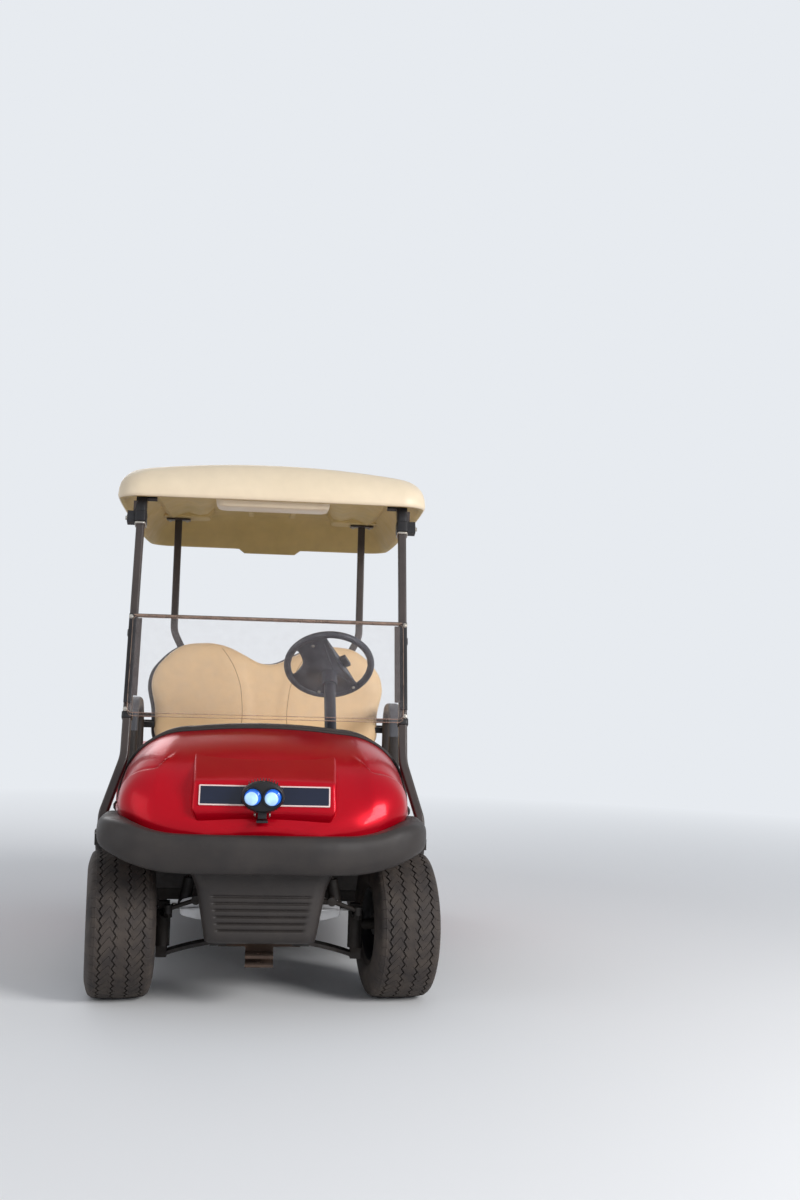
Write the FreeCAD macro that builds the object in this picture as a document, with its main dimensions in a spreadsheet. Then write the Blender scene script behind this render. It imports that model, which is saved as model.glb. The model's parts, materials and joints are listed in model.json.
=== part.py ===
import FreeCAD, Part
import math
import os

import Sketcher
from FreeCAD import Placement, Rotation, Vector

# Two-seat electric golf cart, built as an assembly of separate pieces in millimetres.
# Z is up and the ground is at Z = 0. The cart drives towards -Y, so +X is its left, the driver's side.
# The origin is on the ground, midway along the length and on the centre plane.
# The front wheels are stored turned a little to the left, as they stood when the cart was parked.

SIZES = [
    ("overall_length", 2340, "front bumper nose to rear bumper"),
    ("rear_width", 1200, "across the rear fenders"),
    ("roof_height", 1765, "crown of the roof above the ground"),
    ("front_overhang", 390, "front bumper nose to front axle"),
    ("rear_overhang", 286, "rear axle to the back of the rear bumper"),
    ("front_track", 876, "between the front wheel centres"),
    ("tyre_cover", 7, "how far each rear fender stands out past its tyre"),
    ("tyre_diameter", 457, "outside diameter of all four tyres"),
    ("tyre_width", 208, "widest section of the tyre"),
    ("rim_diameter", 204, "where the tyre's bead sits on the rim"),
    ("rim_width", 178, "across the rim's two flanges"),
    ("rim_flange", 12, "how far the flange stands above the bead seat"),
    ("hub_radius", 46, "hub and its centre cap"),
    ("hub_reach", 62, "from the wheel's middle plane to the outer face of its spokes"),
    ("kingpin_spacing", 610, "between the two steering pivots"),
    ("kingpin_radius", 11, "steering pivot pin"),
    ("seat_hinge_radius", 4.2, "barrels of the seat's two hinges"),
    ("pivot_play", 0.3, "radial gap round a pin or shaft that turns"),
    ("steer_at_rest", 7, "angle in degrees at which the front wheels are parked"),
    ("steering_arm", 90, "kingpin to tie rod end"),
    ("rail_spacing", 250, "between the centres of the two frame rails"),
    ("rail_width", 50, "flange width of a frame rail"),
    ("rail_depth", 90, "height of a frame rail"),
    ("rail_bottom", 195, "underside of the rails above the ground"),
    ("rail_recess", 17, "how deep the web of a rail is set in from its flanges"),
    ("rail_flange", 13, "flange thickness of a frame rail"),
    ("rail_kick", 150, "how far the rails rise over the rear axle"),
    ("cross_depth", 40, "height and length of a frame cross-member"),
    ("floor_thickness", 15, "floor board"),
    ("floor_width", 960, "floor board between the sills"),
    ("sill_width", 1100, "over the outer faces of the two sills"),
    ("sill_bottom", 190, "lower edge of the sills above the ground"),
    ("sill_top", 335, "upper edge of the sills above the ground"),
    ("seat_to_axle", 824, "front of the seat box to the rear axle"),
    ("dash_setback", 530, "front bumper nose to the front of the dash"),
    ("dash_depth", 80, "front to back of the dash panel's face"),
    ("dash_lip", 14, "how far the dash stands out round the cowl"),
    ("dash_base", 560, "lower edge of the dash above the ground"),
    ("cowl_height", 840, "crown of the front cowl above the ground"),
    ("cowl_width", 900, "widest part of the front cowl, at the dash"),
    ("cowl_base", 505, "lower edge of the cowl above the ground"),
    ("cowl_wall", 6, "thickness of the moulded front body"),
    ("badge_ledge_width", 404, "raised block that carries the front plate"),
    ("plate_length", 390, "blank name plate"),
    ("plate_height", 62, "blank name plate"),
    ("plate_thickness", 4, "blank name plate"),
    ("bumper_height", 112, "front bumper section"),
    ("bumper_depth", 75, "front bumper section"),
    ("bumper_middle", 487, "centre of the front bumper above the ground"),
    ("bumper_width", 1000, "over the ends of the front bumper"),
    ("bumper_rise", 48, "how much higher the ends of the front bumper are than its middle"),
    ("fascia_top_width", 410, "ribbed lower front panel, upper edge"),
    ("fascia_bottom_width", 330, "ribbed lower front panel, lower edge"),
    ("fascia_bottom", 213, "lower edge of the ribbed panel above the ground"),
    ("fascia_top", 436, "upper edge of the ribbed panel above the ground"),
    ("body_wall", 8, "thickness of the moulded rear body"),
    ("deck_height", 600, "rear body beside the seat above the ground"),
    ("fender_height", 712, "top of the rear fenders above the ground"),
    ("tail_base", 438, "rear body above the rear bumper"),
    ("arch_radius", 290, "rear wheel arch round the axle"),
    ("seat_width", 964, "seat cushion"),
    ("seat_depth", 438, "seat cushion, front to back"),
    ("seat_thickness", 105, "seat cushion"),
    ("seat_swing", 47, "from the back of the cushion to the back of the seat box, for the tilt"),
    ("seat_gap", 0.3, "between the lifting seat and what it rests on"),
    ("seat_pan", 12, "moulded pan under the seat cushion"),
    ("box_width", 940, "seat box"),
    ("box_wall", 8, "seat box wall"),
    ("backrest_width", 970, "backrest cushion"),
    ("backrest_bottom", 800, "lower edge of the backrest's wide part above the ground"),
    ("backrest_skirt", 76, "how far the narrower lower part of the backrest reaches below that"),
    ("backrest_top", 1152, "top of the two humps above the ground"),
    ("backrest_thickness", 76, "backrest cushion"),
    ("backrest_lean", 8, "angle in degrees at which the backrest leans back"),
    ("shell_thickness", 18, "moulded shell behind the backrest"),
    ("fender_width", 260, "one rear fender, beside the bag well"),
    ("bag_well_floor", 446, "floor of the bag well above the ground"),
    ("bag_well_wall", 8, "bag well moulding"),
    ("restraint_height", 915, "top of the hip restraints above the ground"),
    ("restraint_width", 44, "width of a hip restraint"),
    ("post_width", 28, "front roof post, across the cart"),
    ("post_depth", 36, "front roof post, along the cart"),
    ("post_spacing", 912, "between the front posts at the roof"),
    ("post_foot_spacing", 1020, "between the feet of the front posts"),
    ("rear_post_side", 30, "square tube of the rear posts"),
    ("rear_post_spacing", 790, "between the rear posts at the roof"),
    ("roof_width", 1096, "widest part of the roof"),
    ("roof_length", 1500, "roof, front lip to rear lip"),
    ("roof_depth", 178, "crown of the roof down to the lower edge of its rear"),
    ("roof_rise", 32, "how much higher the roof's front lip is than its rear one"),
    ("roof_wall", 24, "thickness of the double-walled roof moulding"),
    ("roof_setback", 700, "front bumper nose to the front lip of the roof"),
    ("glass_width", 912, "windshield panels"),
    ("glass_height", 345, "one windshield panel, along its slope"),
    ("glass_thickness", 5, "clear windshield panel"),
    ("glass_gap", 7, "between the folded panel and the fixed one"),
    ("glass_rise", 23, "from the crown of the cowl up to the windshield"),
    ("wheel_rim_radius", 155, "steering wheel, to the middle of its rim"),
    ("wheel_grip_radius", 13, "steering wheel grip"),
    ("column_radius", 21, "steering column shroud"),
    ("column_angle", 45, "steering column above the horizontal in degrees"),
    ("lamp_width", 122, "twin spot lamp housing"),
    ("lamp_height", 96, "twin spot lamp housing"),
    ("lamp_depth", 46, "twin spot lamp housing"),
    ("lens_radius", 23, "each of the two lenses of the spot lamp"),
    ("battery_length", 260, "one battery block, across the cart"),
    ("battery_depth", 182, "one battery block, along the cart"),
    ("battery_room", 35, "between the batteries and the top of the deck"),
    ("tow_hole_radius", 8.5, "pin hole in the tow bracket"),
    ("tow_plate", 8, "tow bracket plate"),
]


class Size:
    """A size that is known both as a number and as a formula on the sheet."""

    def __init__(self, value, text):
        self.value = float(value)
        self.text = text

    def _with(self, other, sign, value):
        return Size(value, f"({self.text} {sign} {size_of(other).text})")

    def __add__(self, other):
        return self._with(other, "+", self.value + size_of(other).value)

    def __sub__(self, other):
        return self._with(other, "-", self.value - size_of(other).value)

    def __mul__(self, other):
        return self._with(other, "*", self.value * size_of(other).value)

    def __truediv__(self, other):
        return self._with(other, "/", self.value / size_of(other).value)

    def __radd__(self, other):
        return size_of(other) + self

    def __rsub__(self, other):
        return size_of(other) - self

    def __rmul__(self, other):
        return size_of(other) * self

    def __neg__(self):
        return size_of(0) - self


def size_of(number):
    """A plain number as a Size; a Size as it is."""
    if isinstance(number, Size):
        return number
    return Size(number, f"{float(number):.6f}")


def plain(*sizes):
    """The numbers behind some sizes."""
    return [size_of(s).value for s in sizes]


doc = FreeCAD.newDocument("golf_cart")
sheet = doc.addObject("Spreadsheet::Sheet", "dim")
for line, (alias, value, meaning) in enumerate(SIZES, 1):
    sheet.set(f"A{line}", alias)
    sheet.set(f"B{line}", str(value))
    sheet.setAlias(f"B{line}", alias)
    sheet.set(f"C{line}", meaning)
doc.recompute()


class Sheet:
    """Gives each cell of the sheet as a Size by its alias."""

    def __getattr__(self, alias):
        return Size(sheet.get(alias), f"dim.{alias}")


D = Sheet()

# Places that several pieces share, worked out from the driving sizes.
nose = -D.overall_length / 2
tail = D.overall_length / 2
front_axle = nose + D.front_overhang
rear_axle = tail - D.rear_overhang
rear_track = D.rear_width - D.tyre_width - 2 * D.tyre_cover
bag_well_width = D.rear_width - 2 * D.fender_width
axle_height = D.tyre_diameter / 2
rail_top = D.rail_bottom + D.rail_depth
floor_top = rail_top + D.floor_thickness
dash_front = nose + D.dash_setback
dash_rear = dash_front + D.dash_depth
floor_front = dash_front + 185
seat_front = rear_axle - D.seat_to_axle
seat_base = D.deck_height - D.seat_pan
box_rear = seat_front + D.seat_depth + D.seat_swing
bag_front = box_rear + 100
kingpin = D.kingpin_spacing / 2
rear_plane = tail - 20
beam_front = front_axle + 5
beam_back = beam_front + 35
beam_base = D.tyre_diameter + 8
beam_top = beam_base + 35

nodes = {}


def keep(label, item):
    """Names a finished sub-part; the label is also the name of its file."""
    item.Label = label
    nodes[label] = item
    return item


def bind(item, **formulas):
    """Binds properties to formulas on the sheet; two underlines stand for a dot."""
    for path, size in formulas.items():
        item.setExpression(path.replace("__", "."), size_of(size).text)
    return item


def move(item, x=0, y=0, z=0):
    """Binds where an item stands."""
    return bind(item, Placement__Base__x=x, Placement__Base__y=y, Placement__Base__z=z)


def block(name, x, y, z):
    """A box between two limits on each axis."""
    item = doc.addObject("Part::Box", name)
    bind(item, Length=x[1] - size_of(x[0]), Width=y[1] - size_of(y[0]), Height=z[1] - size_of(z[0]))
    return move(item, x[0], y[0], z[0])


TURNS = {
    "X": Rotation(Vector(0, 1, 0), 90),
    "Y": Rotation(Vector(1, 0, 0), -90),
    "Z": Rotation(),
}


def rod(name, axis, radius, start, end, at):
    """A cylinder along an axis from start to end; at gives its two other coordinates in order."""
    item = doc.addObject("Part::Cylinder", name)
    item.Placement = Placement(Vector(), TURNS[axis])
    bind(item, Radius=radius, Height=end - size_of(start))
    x, y, z = {"X": (start, *at), "Y": (at[0], start, at[1]), "Z": (*at, start)}[axis]
    return move(item, x, y, z)


def slanted_rod(name, radius, foot, head, radius_2=None):
    """A cylinder or cone between two points given in plain numbers."""
    a, b = Vector(*plain(*foot)), Vector(*plain(*head))
    kind = "Part::Cylinder" if radius_2 is None else "Part::Cone"
    item = doc.addObject(kind, name)
    item.Placement = Placement(a, Rotation(Vector(0, 0, 1), b - a))
    item.Height = (b - a).Length
    if radius_2 is None:
        return bind(item, Radius=radius)
    return bind(item, Radius1=radius, Radius2=radius_2)


def draw(sketch, loops):
    """Draws closed loops of lines and arcs, each corner held by its two distances from the origin.

    A corner is (x, y), or (x, y, r) where an arc of radius r runs on to the next corner. A positive
    radius bulges to the right of the way that the loop goes. A loop of one (x, y, r) is a circle.
    """
    for loop in loops:
        first = sketch.GeometryCount
        count = len(loop)
        if count == 1:
            x, y, r = (size_of(s) for s in loop[0])
            circle = Part.Circle(Vector(x.value, y.value, 0), Vector(0, 0, 1), r.value)
            sketch.addGeometry(circle)
            hold(sketch, first, 3, x, y)
            fix(sketch, Sketcher.Constraint("Radius", first, r.value), r)
            continue
        for i, corner in enumerate(loop):
            a = Vector(*plain(*corner[:2]), 0)
            b = Vector(*plain(*loop[(i + 1) % count][:2]), 0)
            sketch.addGeometry(arc_or_line(a, b, corner))
        for i, corner in enumerate(loop):
            here, after = first + i, first + (i + 1) % count
            ends = [2 if turns_back(corner) else 1 for corner in (loop[i], loop[(i + 1) % count])]
            sketch.addConstraint(Sketcher.Constraint("Coincident", here, 3 - ends[0], after, ends[1]))
            hold(sketch, here, ends[0], size_of(corner[0]), size_of(corner[1]))
            if len(corner) > 2:
                r = size_of(corner[2])
                r = r if r.value > 0 else -r
                fix(sketch, Sketcher.Constraint("Radius", here, r.value), r)


def turns_back(corner):
    """Whether the arc that leaves a corner is stored from its far end."""
    return len(corner) > 2 and size_of(corner[2]).value < 0


def arc_or_line(a, b, corner):
    """The edge from a to b: straight, or an arc of the radius that the corner gives."""
    if len(corner) < 3:
        return Part.LineSegment(a, b)
    r = size_of(corner[2]).value
    chord = b - a
    half = chord.Length / 2
    side = Vector(-chord.y, chord.x, 0).normalize() * (1 if r > 0 else -1)
    centre = (a + b) / 2 + side * math.sqrt(max(r * r - half * half, 0))
    start, end = (a, b) if r > 0 else (b, a)
    angles = [math.atan2((p - centre).y, (p - centre).x) for p in (start, end)]
    return Part.ArcOfCircle(Part.Circle(centre, Vector(0, 0, 1), abs(r)), *angles)


def hold(sketch, edge, point, x, y):
    """Binds a point's two distances from the sketch's origin."""
    fix(sketch, Sketcher.Constraint("DistanceX", -1, 1, edge, point, x.value), x)
    fix(sketch, Sketcher.Constraint("DistanceY", -1, 1, edge, point, y.value), y)


def fix(sketch, constraint, size):
    """Adds a constraint and binds it to a formula."""
    number = sketch.addConstraint(constraint)
    sketch.setExpression(f"Constraints[{number}]", size.text)


PLANES = {
    "XY": (Rotation(), "z", 1),
    "XZ": (Rotation(Vector(1, 0, 0), 90), "y", -1),
    "YZ": (Rotation(Vector(1, 1, 1), 120), "x", 1),
}


def prism(name, plane, loops, low, high):
    """Loops drawn on a plane and carried along the third axis from low to high."""
    turn, axis, way = PLANES[plane]
    loops = loops if isinstance(loops[0], list) else [loops]
    sketch = doc.addObject("Sketcher::SketchObject", name + "_sketch")
    sketch.Placement = Placement(Vector(), turn)
    draw(sketch, loops)
    start = size_of(low if way > 0 else high)
    sketch.setExpression(f"Placement.Base.{axis}", start.text)
    item = doc.addObject("Part::Extrusion", name)
    item.Base = sketch
    item.DirMode = "Normal"
    item.Solid = True
    return bind(item, LengthFwd=size_of(high) - low)


def fuse(name, *items):
    """One solid from several that touch or overlap."""
    item = doc.addObject("Part::MultiFuse", name)
    item.Shapes = list(items)
    item.Refine = True
    return item


def cut(name, base, *tools):
    """The base less the tools."""
    item = doc.addObject("Part::Cut", name)
    item.Base = base
    item.Tool = tools[0] if len(tools) == 1 else fuse(name + "_tools", *tools)
    return item


def common(name, *items):
    """What all the items share."""
    item = doc.addObject("Part::MultiCommon", name)
    item.Shapes = list(items)
    return item


def mirrored(name, source):
    """The same piece on the other side of the cart."""
    item = doc.addObject("Part::Mirroring", name)
    item.Source = source
    item.Normal = Vector(1, 0, 0)
    return item


def both_sides(label, source):
    """A node of two like solids, left and right."""
    item = doc.addObject("Part::Compound", label + "_pair")
    item.Links = [source, mirrored(label + "_other", source)]
    return keep(label, item)


def rounded(name, base, radius, chosen):
    """The base with every edge that chosen(edge) picks rounded off."""
    doc.recompute()
    edges = [(i, radius, radius) for i, e in enumerate(base.Shape.Edges, 1) if chosen(e)]
    item = doc.addObject("Part::Fillet", name)
    item.Base = base
    item.Edges = edges
    return item


def feature(name, shape):
    """A piece whose shape is made in code from the sheet's sizes."""
    item = doc.addObject("Part::Feature", name)
    item.Shape = shape
    return item


def smooth_path(points, radii):
    """A wire of straight runs joined by tangent arcs, one radius for each inner point."""
    edges = []
    start = points[0]
    for before, corner, after, radius in zip(points, points[1:], points[2:], radii):
        a, b = (before - corner).normalize(), (after - corner).normalize()
        half = a.getAngle(b) / 2
        reach = radius / math.tan(half)
        enter, leave = corner + a * reach, corner + b * reach
        middle = corner + (a + b).normalize() * (radius / math.sin(half) - radius)
        edges.append(Part.makeLine(start, enter))
        edges.append(Part.Arc(enter, middle, leave).toShape())
        start = leave
    edges.append(Part.makeLine(start, points[-1]))
    return Part.Wire(edges)


def rounded_section(width, height, radius, base, along, up):
    """A closed rectangle with round corners, square to a direction, its height near the way of up."""
    along = Vector(along).normalize()
    side = along.cross(up).normalize()
    top = side.cross(along)
    w, h = width / 2, height / 2
    corners = [(w, -h), (w, h), (-w, h), (-w, -h)]
    edges = []
    for i, (x, y) in enumerate(corners):
        nx, ny = corners[(i + 1) % 4]
        sx, sy = math.copysign(1, x), math.copysign(1, y)
        upright = i % 2 == 0
        a = Vector(x, y - sy * radius, 0) if upright else Vector(x - sx * radius, y, 0)
        b = Vector(nx, ny - math.copysign(radius, ny), 0) if upright else Vector(nx - math.copysign(radius, nx), ny, 0)
        far = Vector(nx, ny, 0)
        out = Vector(nx - math.copysign(radius, nx), ny, 0) if upright else Vector(nx, ny - math.copysign(radius, ny), 0)
        middle = far - Vector(math.copysign(1, nx), math.copysign(1, ny), 0) * radius * (1 - math.sqrt(0.5))
        edges.append(Part.makeLine(a, b))
        edges.append(Part.Arc(b, middle, out).toShape())
    wire = Part.Wire(edges)
    wire.transformShape(FreeCAD.Matrix(
        side.x, top.x, along.x, base.x,
        side.y, top.y, along.y, base.y,
        side.z, top.z, along.z, base.z,
        0, 0, 0, 1))
    return wire


def tube_along(path, section):
    """The solid that a section makes along a path."""
    return path.makePipeShell([section], True, True)


def upright_sweep(path, section):
    """The solid that a section makes along a path while it stays upright."""
    sweep = Part.BRepOffsetAPI.MakePipeShell(path)
    sweep.setBiNormalMode(Vector(0, 0, 1))
    sweep.add(section)
    sweep.build()
    sweep.makeSolid()
    return sweep.shape()


def steer_about(x, angle):
    """The turn about a kingpin that stands at x on the front axle."""
    centre = Vector(x, front_axle.value, 0)
    return Placement(Vector(), Rotation(Vector(0, 0, 1), angle), centre)


# Frame: two recessed rails that kick up over the rear axle, cross-members and the cowl beam
def make_frame():
    half = D.rail_spacing / 2
    low, high = D.rail_bottom, rail_top
    front, back = nose + 190.3, rear_plane - 65
    ramp = rear_axle - 360
    flange, slant = D.rail_flange, D.rail_flange * 0.45

    def outline(inset, slope):
        return [
            (front + inset, low + inset),
            (ramp + slope, low + inset),
            (ramp + 150 + slope, low + D.rail_kick + inset),
            (back - inset, low + D.rail_kick + inset),
            (back - inset, high + D.rail_kick - inset),
            (ramp + 175 - slope, high + D.rail_kick - inset),
            (ramp + 25 - slope, high - inset),
            (front + inset, high - inset),
        ]

    rails = []
    for side, name in ((1, "left"), (-1, "right")):
        middle = half * side
        edge = D.rail_width / 2
        rail = prism(f"rail_{name}", "YZ", outline(0, size_of(0)), middle - edge, middle + edge)
        webs = [
            prism(f"web_{name}_inner", "YZ", outline(flange, slant), middle - edge - 1, middle - edge + D.rail_recess),
            prism(f"web_{name}_outer", "YZ", outline(flange, slant), middle + edge - D.rail_recess, middle + edge + 1),
        ]
        rails.append(cut(f"rail_{name}_cut", rail, *webs))
    deep = D.cross_depth
    reach = D.floor_width / 2 - 6
    spring_reach = rear_track / 2 - D.tyre_width / 2 - 40
    crosses = [
        block("cross_nose", (-half, half), (front, front + deep), (low + 20, high)),
        block("cross_spring", (-half, half), (front_axle - 30, front_axle + 30), (low, low + 14)),
        block("cross_toe", (-reach, reach), (floor_front + 10, floor_front + 10 + deep), (high - deep, high)),
        block("cross_seat", (-reach, reach), (seat_front + 20, seat_front + 20 + deep), (high - deep, high)),
        block("cross_box", (-spring_reach, spring_reach), (box_rear + 51, box_rear + 51 + deep), (high + 15, high + 15 + deep)),
        block("cross_tail", (-spring_reach - 20, spring_reach + 20), (back - deep, back), (low + D.rail_kick, high + D.rail_kick)),
    ]
    uprights = []
    foot = D.post_foot_spacing / 2 + D.post_width / 2 + 4
    uprights.append(block("cowl_beam", (-foot, foot), (beam_front, beam_back), (beam_base, beam_top)))
    for side, name in ((1, "left"), (-1, "right")):
        x = (half * side - 15, half * side + 15)
        uprights.append(block(f"beam_leg_{name}", x, (beam_front, beam_back), (high, beam_base)))
        uprights.append(block(f"nose_leg_{name}", x, (front, front + deep), (high, D.bumper_middle - 15)))
        arm_front = nose + D.bumper_depth + 1.5
        stay = (D.rail_bottom + D.rail_kick, D.rail_bottom + D.rail_kick + 30)
        uprights.append(block(f"tail_arm_{name}", x, (back, tail - 62.3), stay))
        arm = (D.bumper_middle - 45, D.bumper_middle - 15)
        uprights.append(block(f"bumper_arm_{name}", x, (arm_front, front + deep), arm))
    keep("frame", fuse("frame_fuse", *rails, *crosses, *uprights))


# Wheels: a tyre revolved from arcs on a rim revolved and pierced between its spokes
def origin_plane(body, role):
    """A body's own origin plane or axis."""
    return next(f for f in body.Origin.OriginFeatures if f.Role == role)


def body_sketch(body, name, role, loops):
    """A sketch on one of the body's origin planes."""
    sketch = body.newObject("Sketcher::SketchObject", name)
    sketch.AttachmentSupport = [(origin_plane(body, role), "")]
    sketch.MapMode = "FlatFace"
    draw(sketch, loops)
    return sketch


def make_tyre(label):
    """A tyre about the X axis through the origin, with a crowned tread and bulging walls."""
    body = doc.addObject("PartDesign::Body", label + "_body")
    half, outer = D.tyre_width / 2, D.tyre_diameter / 2
    bead, seat = D.rim_width / 2 - 12, D.rim_diameter / 2
    shoulder, wall = half - 10, outer - 60
    flat = shoulder - 14
    crown = (flat * flat + 16) / 8
    # Each arc is listed at the corner that it leaves, going round anticlockwise.
    arcs = [
        (-bead, seat),
        (bead, seat),
        (bead, seat + D.rim_flange + 4, 62),
        (half, wall, 120),
        (shoulder, outer - 18, 20),
        (flat, outer - 4, crown),
        (-flat, outer - 4, 20),
        (-shoulder, outer - 18, 120),
        (-half, wall, 62),
        (-bead, seat + D.rim_flange + 4),
    ]
    sketch = body_sketch(body, label + "_profile", "XZ_Plane", [arcs])
    turn = body.newObject("PartDesign::Revolution", label + "_turn")
    turn.Profile = sketch
    turn.ReferenceAxis = (sketch, ["H_Axis"])
    turn.Angle = 360
    return keep(label, body)


def make_rim(label, outward):
    """A pressed rim about the X axis with a ten-spoke face; outward is 1 where its face looks to +X."""
    body = doc.addObject("PartDesign::Body", label + "_body")
    half, seat, lip = D.rim_width / 2, D.rim_diameter / 2, D.rim_flange
    face = D.hub_reach
    skin = 5

    def x(s):
        return s * outward if outward > 0 else -size_of(s)

    loop = [
        (x(-half), seat + lip),
        (x(-half), seat - skin),
        (x(-half + 14), seat - 14),
        (x(face - 16), seat - 14),
        (x(face - 26), D.hub_radius + 6),
        (x(face - 30), 0),
        (x(face + 6), 0),
        (x(face + 6), D.hub_radius - 8),
        (x(face - 2), D.hub_radius),
        (x(face), seat - 9),
        (x(half - 3), seat - skin),
        (x(half), seat + lip),
        (x(half - 11), seat + lip),
        (x(half - 12), seat - 0.05),
        (x(-half + 12), seat - 0.05),
        (x(-half + 11), seat + lip),
    ]
    sketch = body_sketch(body, label + "_profile", "XZ_Plane", [loop])
    turn = body.newObject("PartDesign::Revolution", label + "_turn")
    turn.Profile = sketch
    turn.ReferenceAxis = (sketch, ["H_Axis"])
    turn.Angle = 360
    slot = [
        (-6, D.hub_radius + 8),
        (6, D.hub_radius + 8),
        (15, seat - 20),
        (-15, seat - 20),
    ]
    window = body_sketch(body, label + "_window", "YZ_Plane", [slot])
    doc.recompute()
    pocket = body.newObject("PartDesign::Pocket", label + "_pocket")
    pocket.Profile = window
    pocket.Type = "ThroughAll"
    pocket.Reversed = outward > 0
    ring = body.newObject("PartDesign::PolarPattern", label + "_ring")
    ring.Originals = [pocket]
    ring.Axis = (origin_plane(body, "X_Axis"), [""])
    ring.Angle = 360
    ring.Occurrences = 10
    body.Tip = ring
    return keep(label, body)


def make_wheels():
    """Four wheels; the front pair is placed turned about the kingpins."""
    for end, axle, track in (("front", front_axle, D.front_track), ("rear", rear_axle, rear_track)):
        for side, hand in ((1, "left"), (-1, "right")):
            x = track.value / 2 * side
            at = Placement(Vector(x, axle.value, axle_height.value), Rotation())
            if end == "front":
                at = steer_about(kingpin.value * side, D.steer_at_rest.value) * at
            make_tyre(f"tyre_{end}_{hand}").Placement = at
            make_rim(f"rim_{end}_{hand}", side).Placement = at


# Front suspension and steering
def make_knuckle(side, hand):
    """Steering knuckle: a sleeve on the kingpin, the stub axle and an arm forward to the tie rod."""
    pin = kingpin * side
    sleeve_radius = D.kingpin_radius + 13
    sleeve = rod(f"sleeve_{hand}", "Z", sleeve_radius, axle_height - 72, axle_height + 42, (pin, front_axle))
    inner = D.front_track / 2 * side
    hub_face = D.hub_reach - 30.3
    low, high = (pin, inner + hub_face) if side > 0 else (inner - hub_face, pin)
    stub = rod(f"stub_{hand}", "X", 17, low, high, (front_axle, axle_height))
    drum = (inner - 75 * side, inner - 30 * side)
    drum = drum if side > 0 else drum[::-1]
    hub = rod(f"hub_{hand}", "X", 34, *drum, (front_axle, axle_height))
    end = pin - 10 * side
    top = axle_height + 42
    arm = [
        (pin + 16, front_axle),
        (pin - 16, front_axle),
        (end - 13, front_axle - D.steering_arm + 4),
        (end, front_axle - D.steering_arm - 14),
        (end + 13, front_axle - D.steering_arm + 4),
    ]
    lever = prism(f"arm_{hand}", "XY", arm[::-1], top - 13, top)
    bore = rod(f"bore_{hand}", "Z", D.kingpin_radius + D.pivot_play, axle_height - 80, axle_height + 50, (pin, front_axle))
    solid = fuse(f"knuckle_{hand}_solid", sleeve, stub, hub, lever)
    item = keep(f"knuckle_{hand}", cut(f"knuckle_{hand}_cut", solid, bore))
    item.Placement = steer_about(pin.value, D.steer_at_rest.value)


def make_front_suspension():
    """Cross leaf spring, kingpin carriers, upper arms and dampers."""
    spring_top = D.rail_bottom - 6
    low_eye = axle_height - 72 - 0.3
    half = kingpin - 16
    rise = 46
    radius = (half * half + rise * rise) / (rise * 2)
    leaf = [
        (-half, spring_top - rise - 12, -(radius)),
        (half, spring_top - rise - 12),
        (half, spring_top - rise, radius + 12),
        (-half, spring_top - rise),
    ]
    spring = prism("leaf", "XZ", leaf, front_axle - 28, front_axle + 28)
    clamp = block("leaf_clamp", (-58, 58), (front_axle - 34, front_axle + 34), (spring_top - 9, D.rail_bottom))
    foot = block("leaf_foot", (-52, 52), (front_axle - 36, front_axle + 36), (spring_top - 26, spring_top - 8))
    keep("front_leaf_spring", fuse("front_spring_fuse", spring, clamp, foot))

    pin_top = axle_height + 42 + 0.3
    pin = rod("pin", "Z", D.kingpin_radius, low_eye - 30, pin_top + 26, (kingpin, front_axle))
    lower = block("lower_eye", (kingpin - 15.7, kingpin + 18), (front_axle - 20, front_axle + 20), (low_eye - 34, low_eye))
    upper = block("upper_eye", (kingpin - 20, kingpin + 14), (front_axle - 18, front_axle + 18), (pin_top, pin_top + 24))
    both_sides("kingpins", fuse("kingpin_left", pin, lower, upper))

    inner = D.rail_spacing / 2 + D.rail_width / 2
    plate = [
        (inner, front_axle - 62),
        (kingpin - 20.3, front_axle - 22),
        (kingpin - 20.3, front_axle + 22),
        (inner, front_axle + 92),
    ]
    arm_low = pin_top + 4
    flat = prism("arm_plate", "XY", plate, arm_low, arm_low + 6)
    hole = rod("arm_hole", "Z", 17, arm_low - 1, arm_low + 7, (inner + 34, front_axle + 14))
    lug = block("arm_lug", (inner, inner + 26), (front_axle - 62, front_axle + 92), (arm_low - 20, arm_low))
    web = [(inner, arm_low - 34), (inner + 48, arm_low - 32), (kingpin - 52, arm_low - 3), (kingpin - 52, arm_low + 2),
           (inner, arm_low + 2)]
    rib = prism("arm_web", "XZ", web, front_axle - 28, front_axle - 22)
    both_sides("upper_arms", fuse("upper_arm_left", cut("arm_plate_cut", flat, hole), lug, rib))

    foot = (kingpin - 62, front_axle - 12, arm_low + 6.3)
    head = (kingpin - 98, front_axle - 12, arm_low + 178)
    a, b = Vector(*plain(*foot)), Vector(*plain(*head))
    split = a + (b - a) * 0.52
    body = slanted_rod("damper_body", 19, foot, (split.x, split.y, split.z))
    shaft = slanted_rod("damper_rod", 8, foot, head)
    eye = rod("damper_eye", "Y", 15, front_axle - 26, front_axle + 2, (foot[0], foot[2] + 15))
    bolt = rod("damper_bolt", "Y", 9, front_axle - 12, beam_front, (head[0], head[2] - 8))
    trim = block("damper_trim", (foot[0] - 60, foot[0] + 60), (front_axle - 60, front_axle + 60), (arm_low - 60, arm_low + 6))
    both_sides("front_dampers", cut("damper_cut", fuse("damper_left", body, shaft, eye, bolt), trim))


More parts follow.
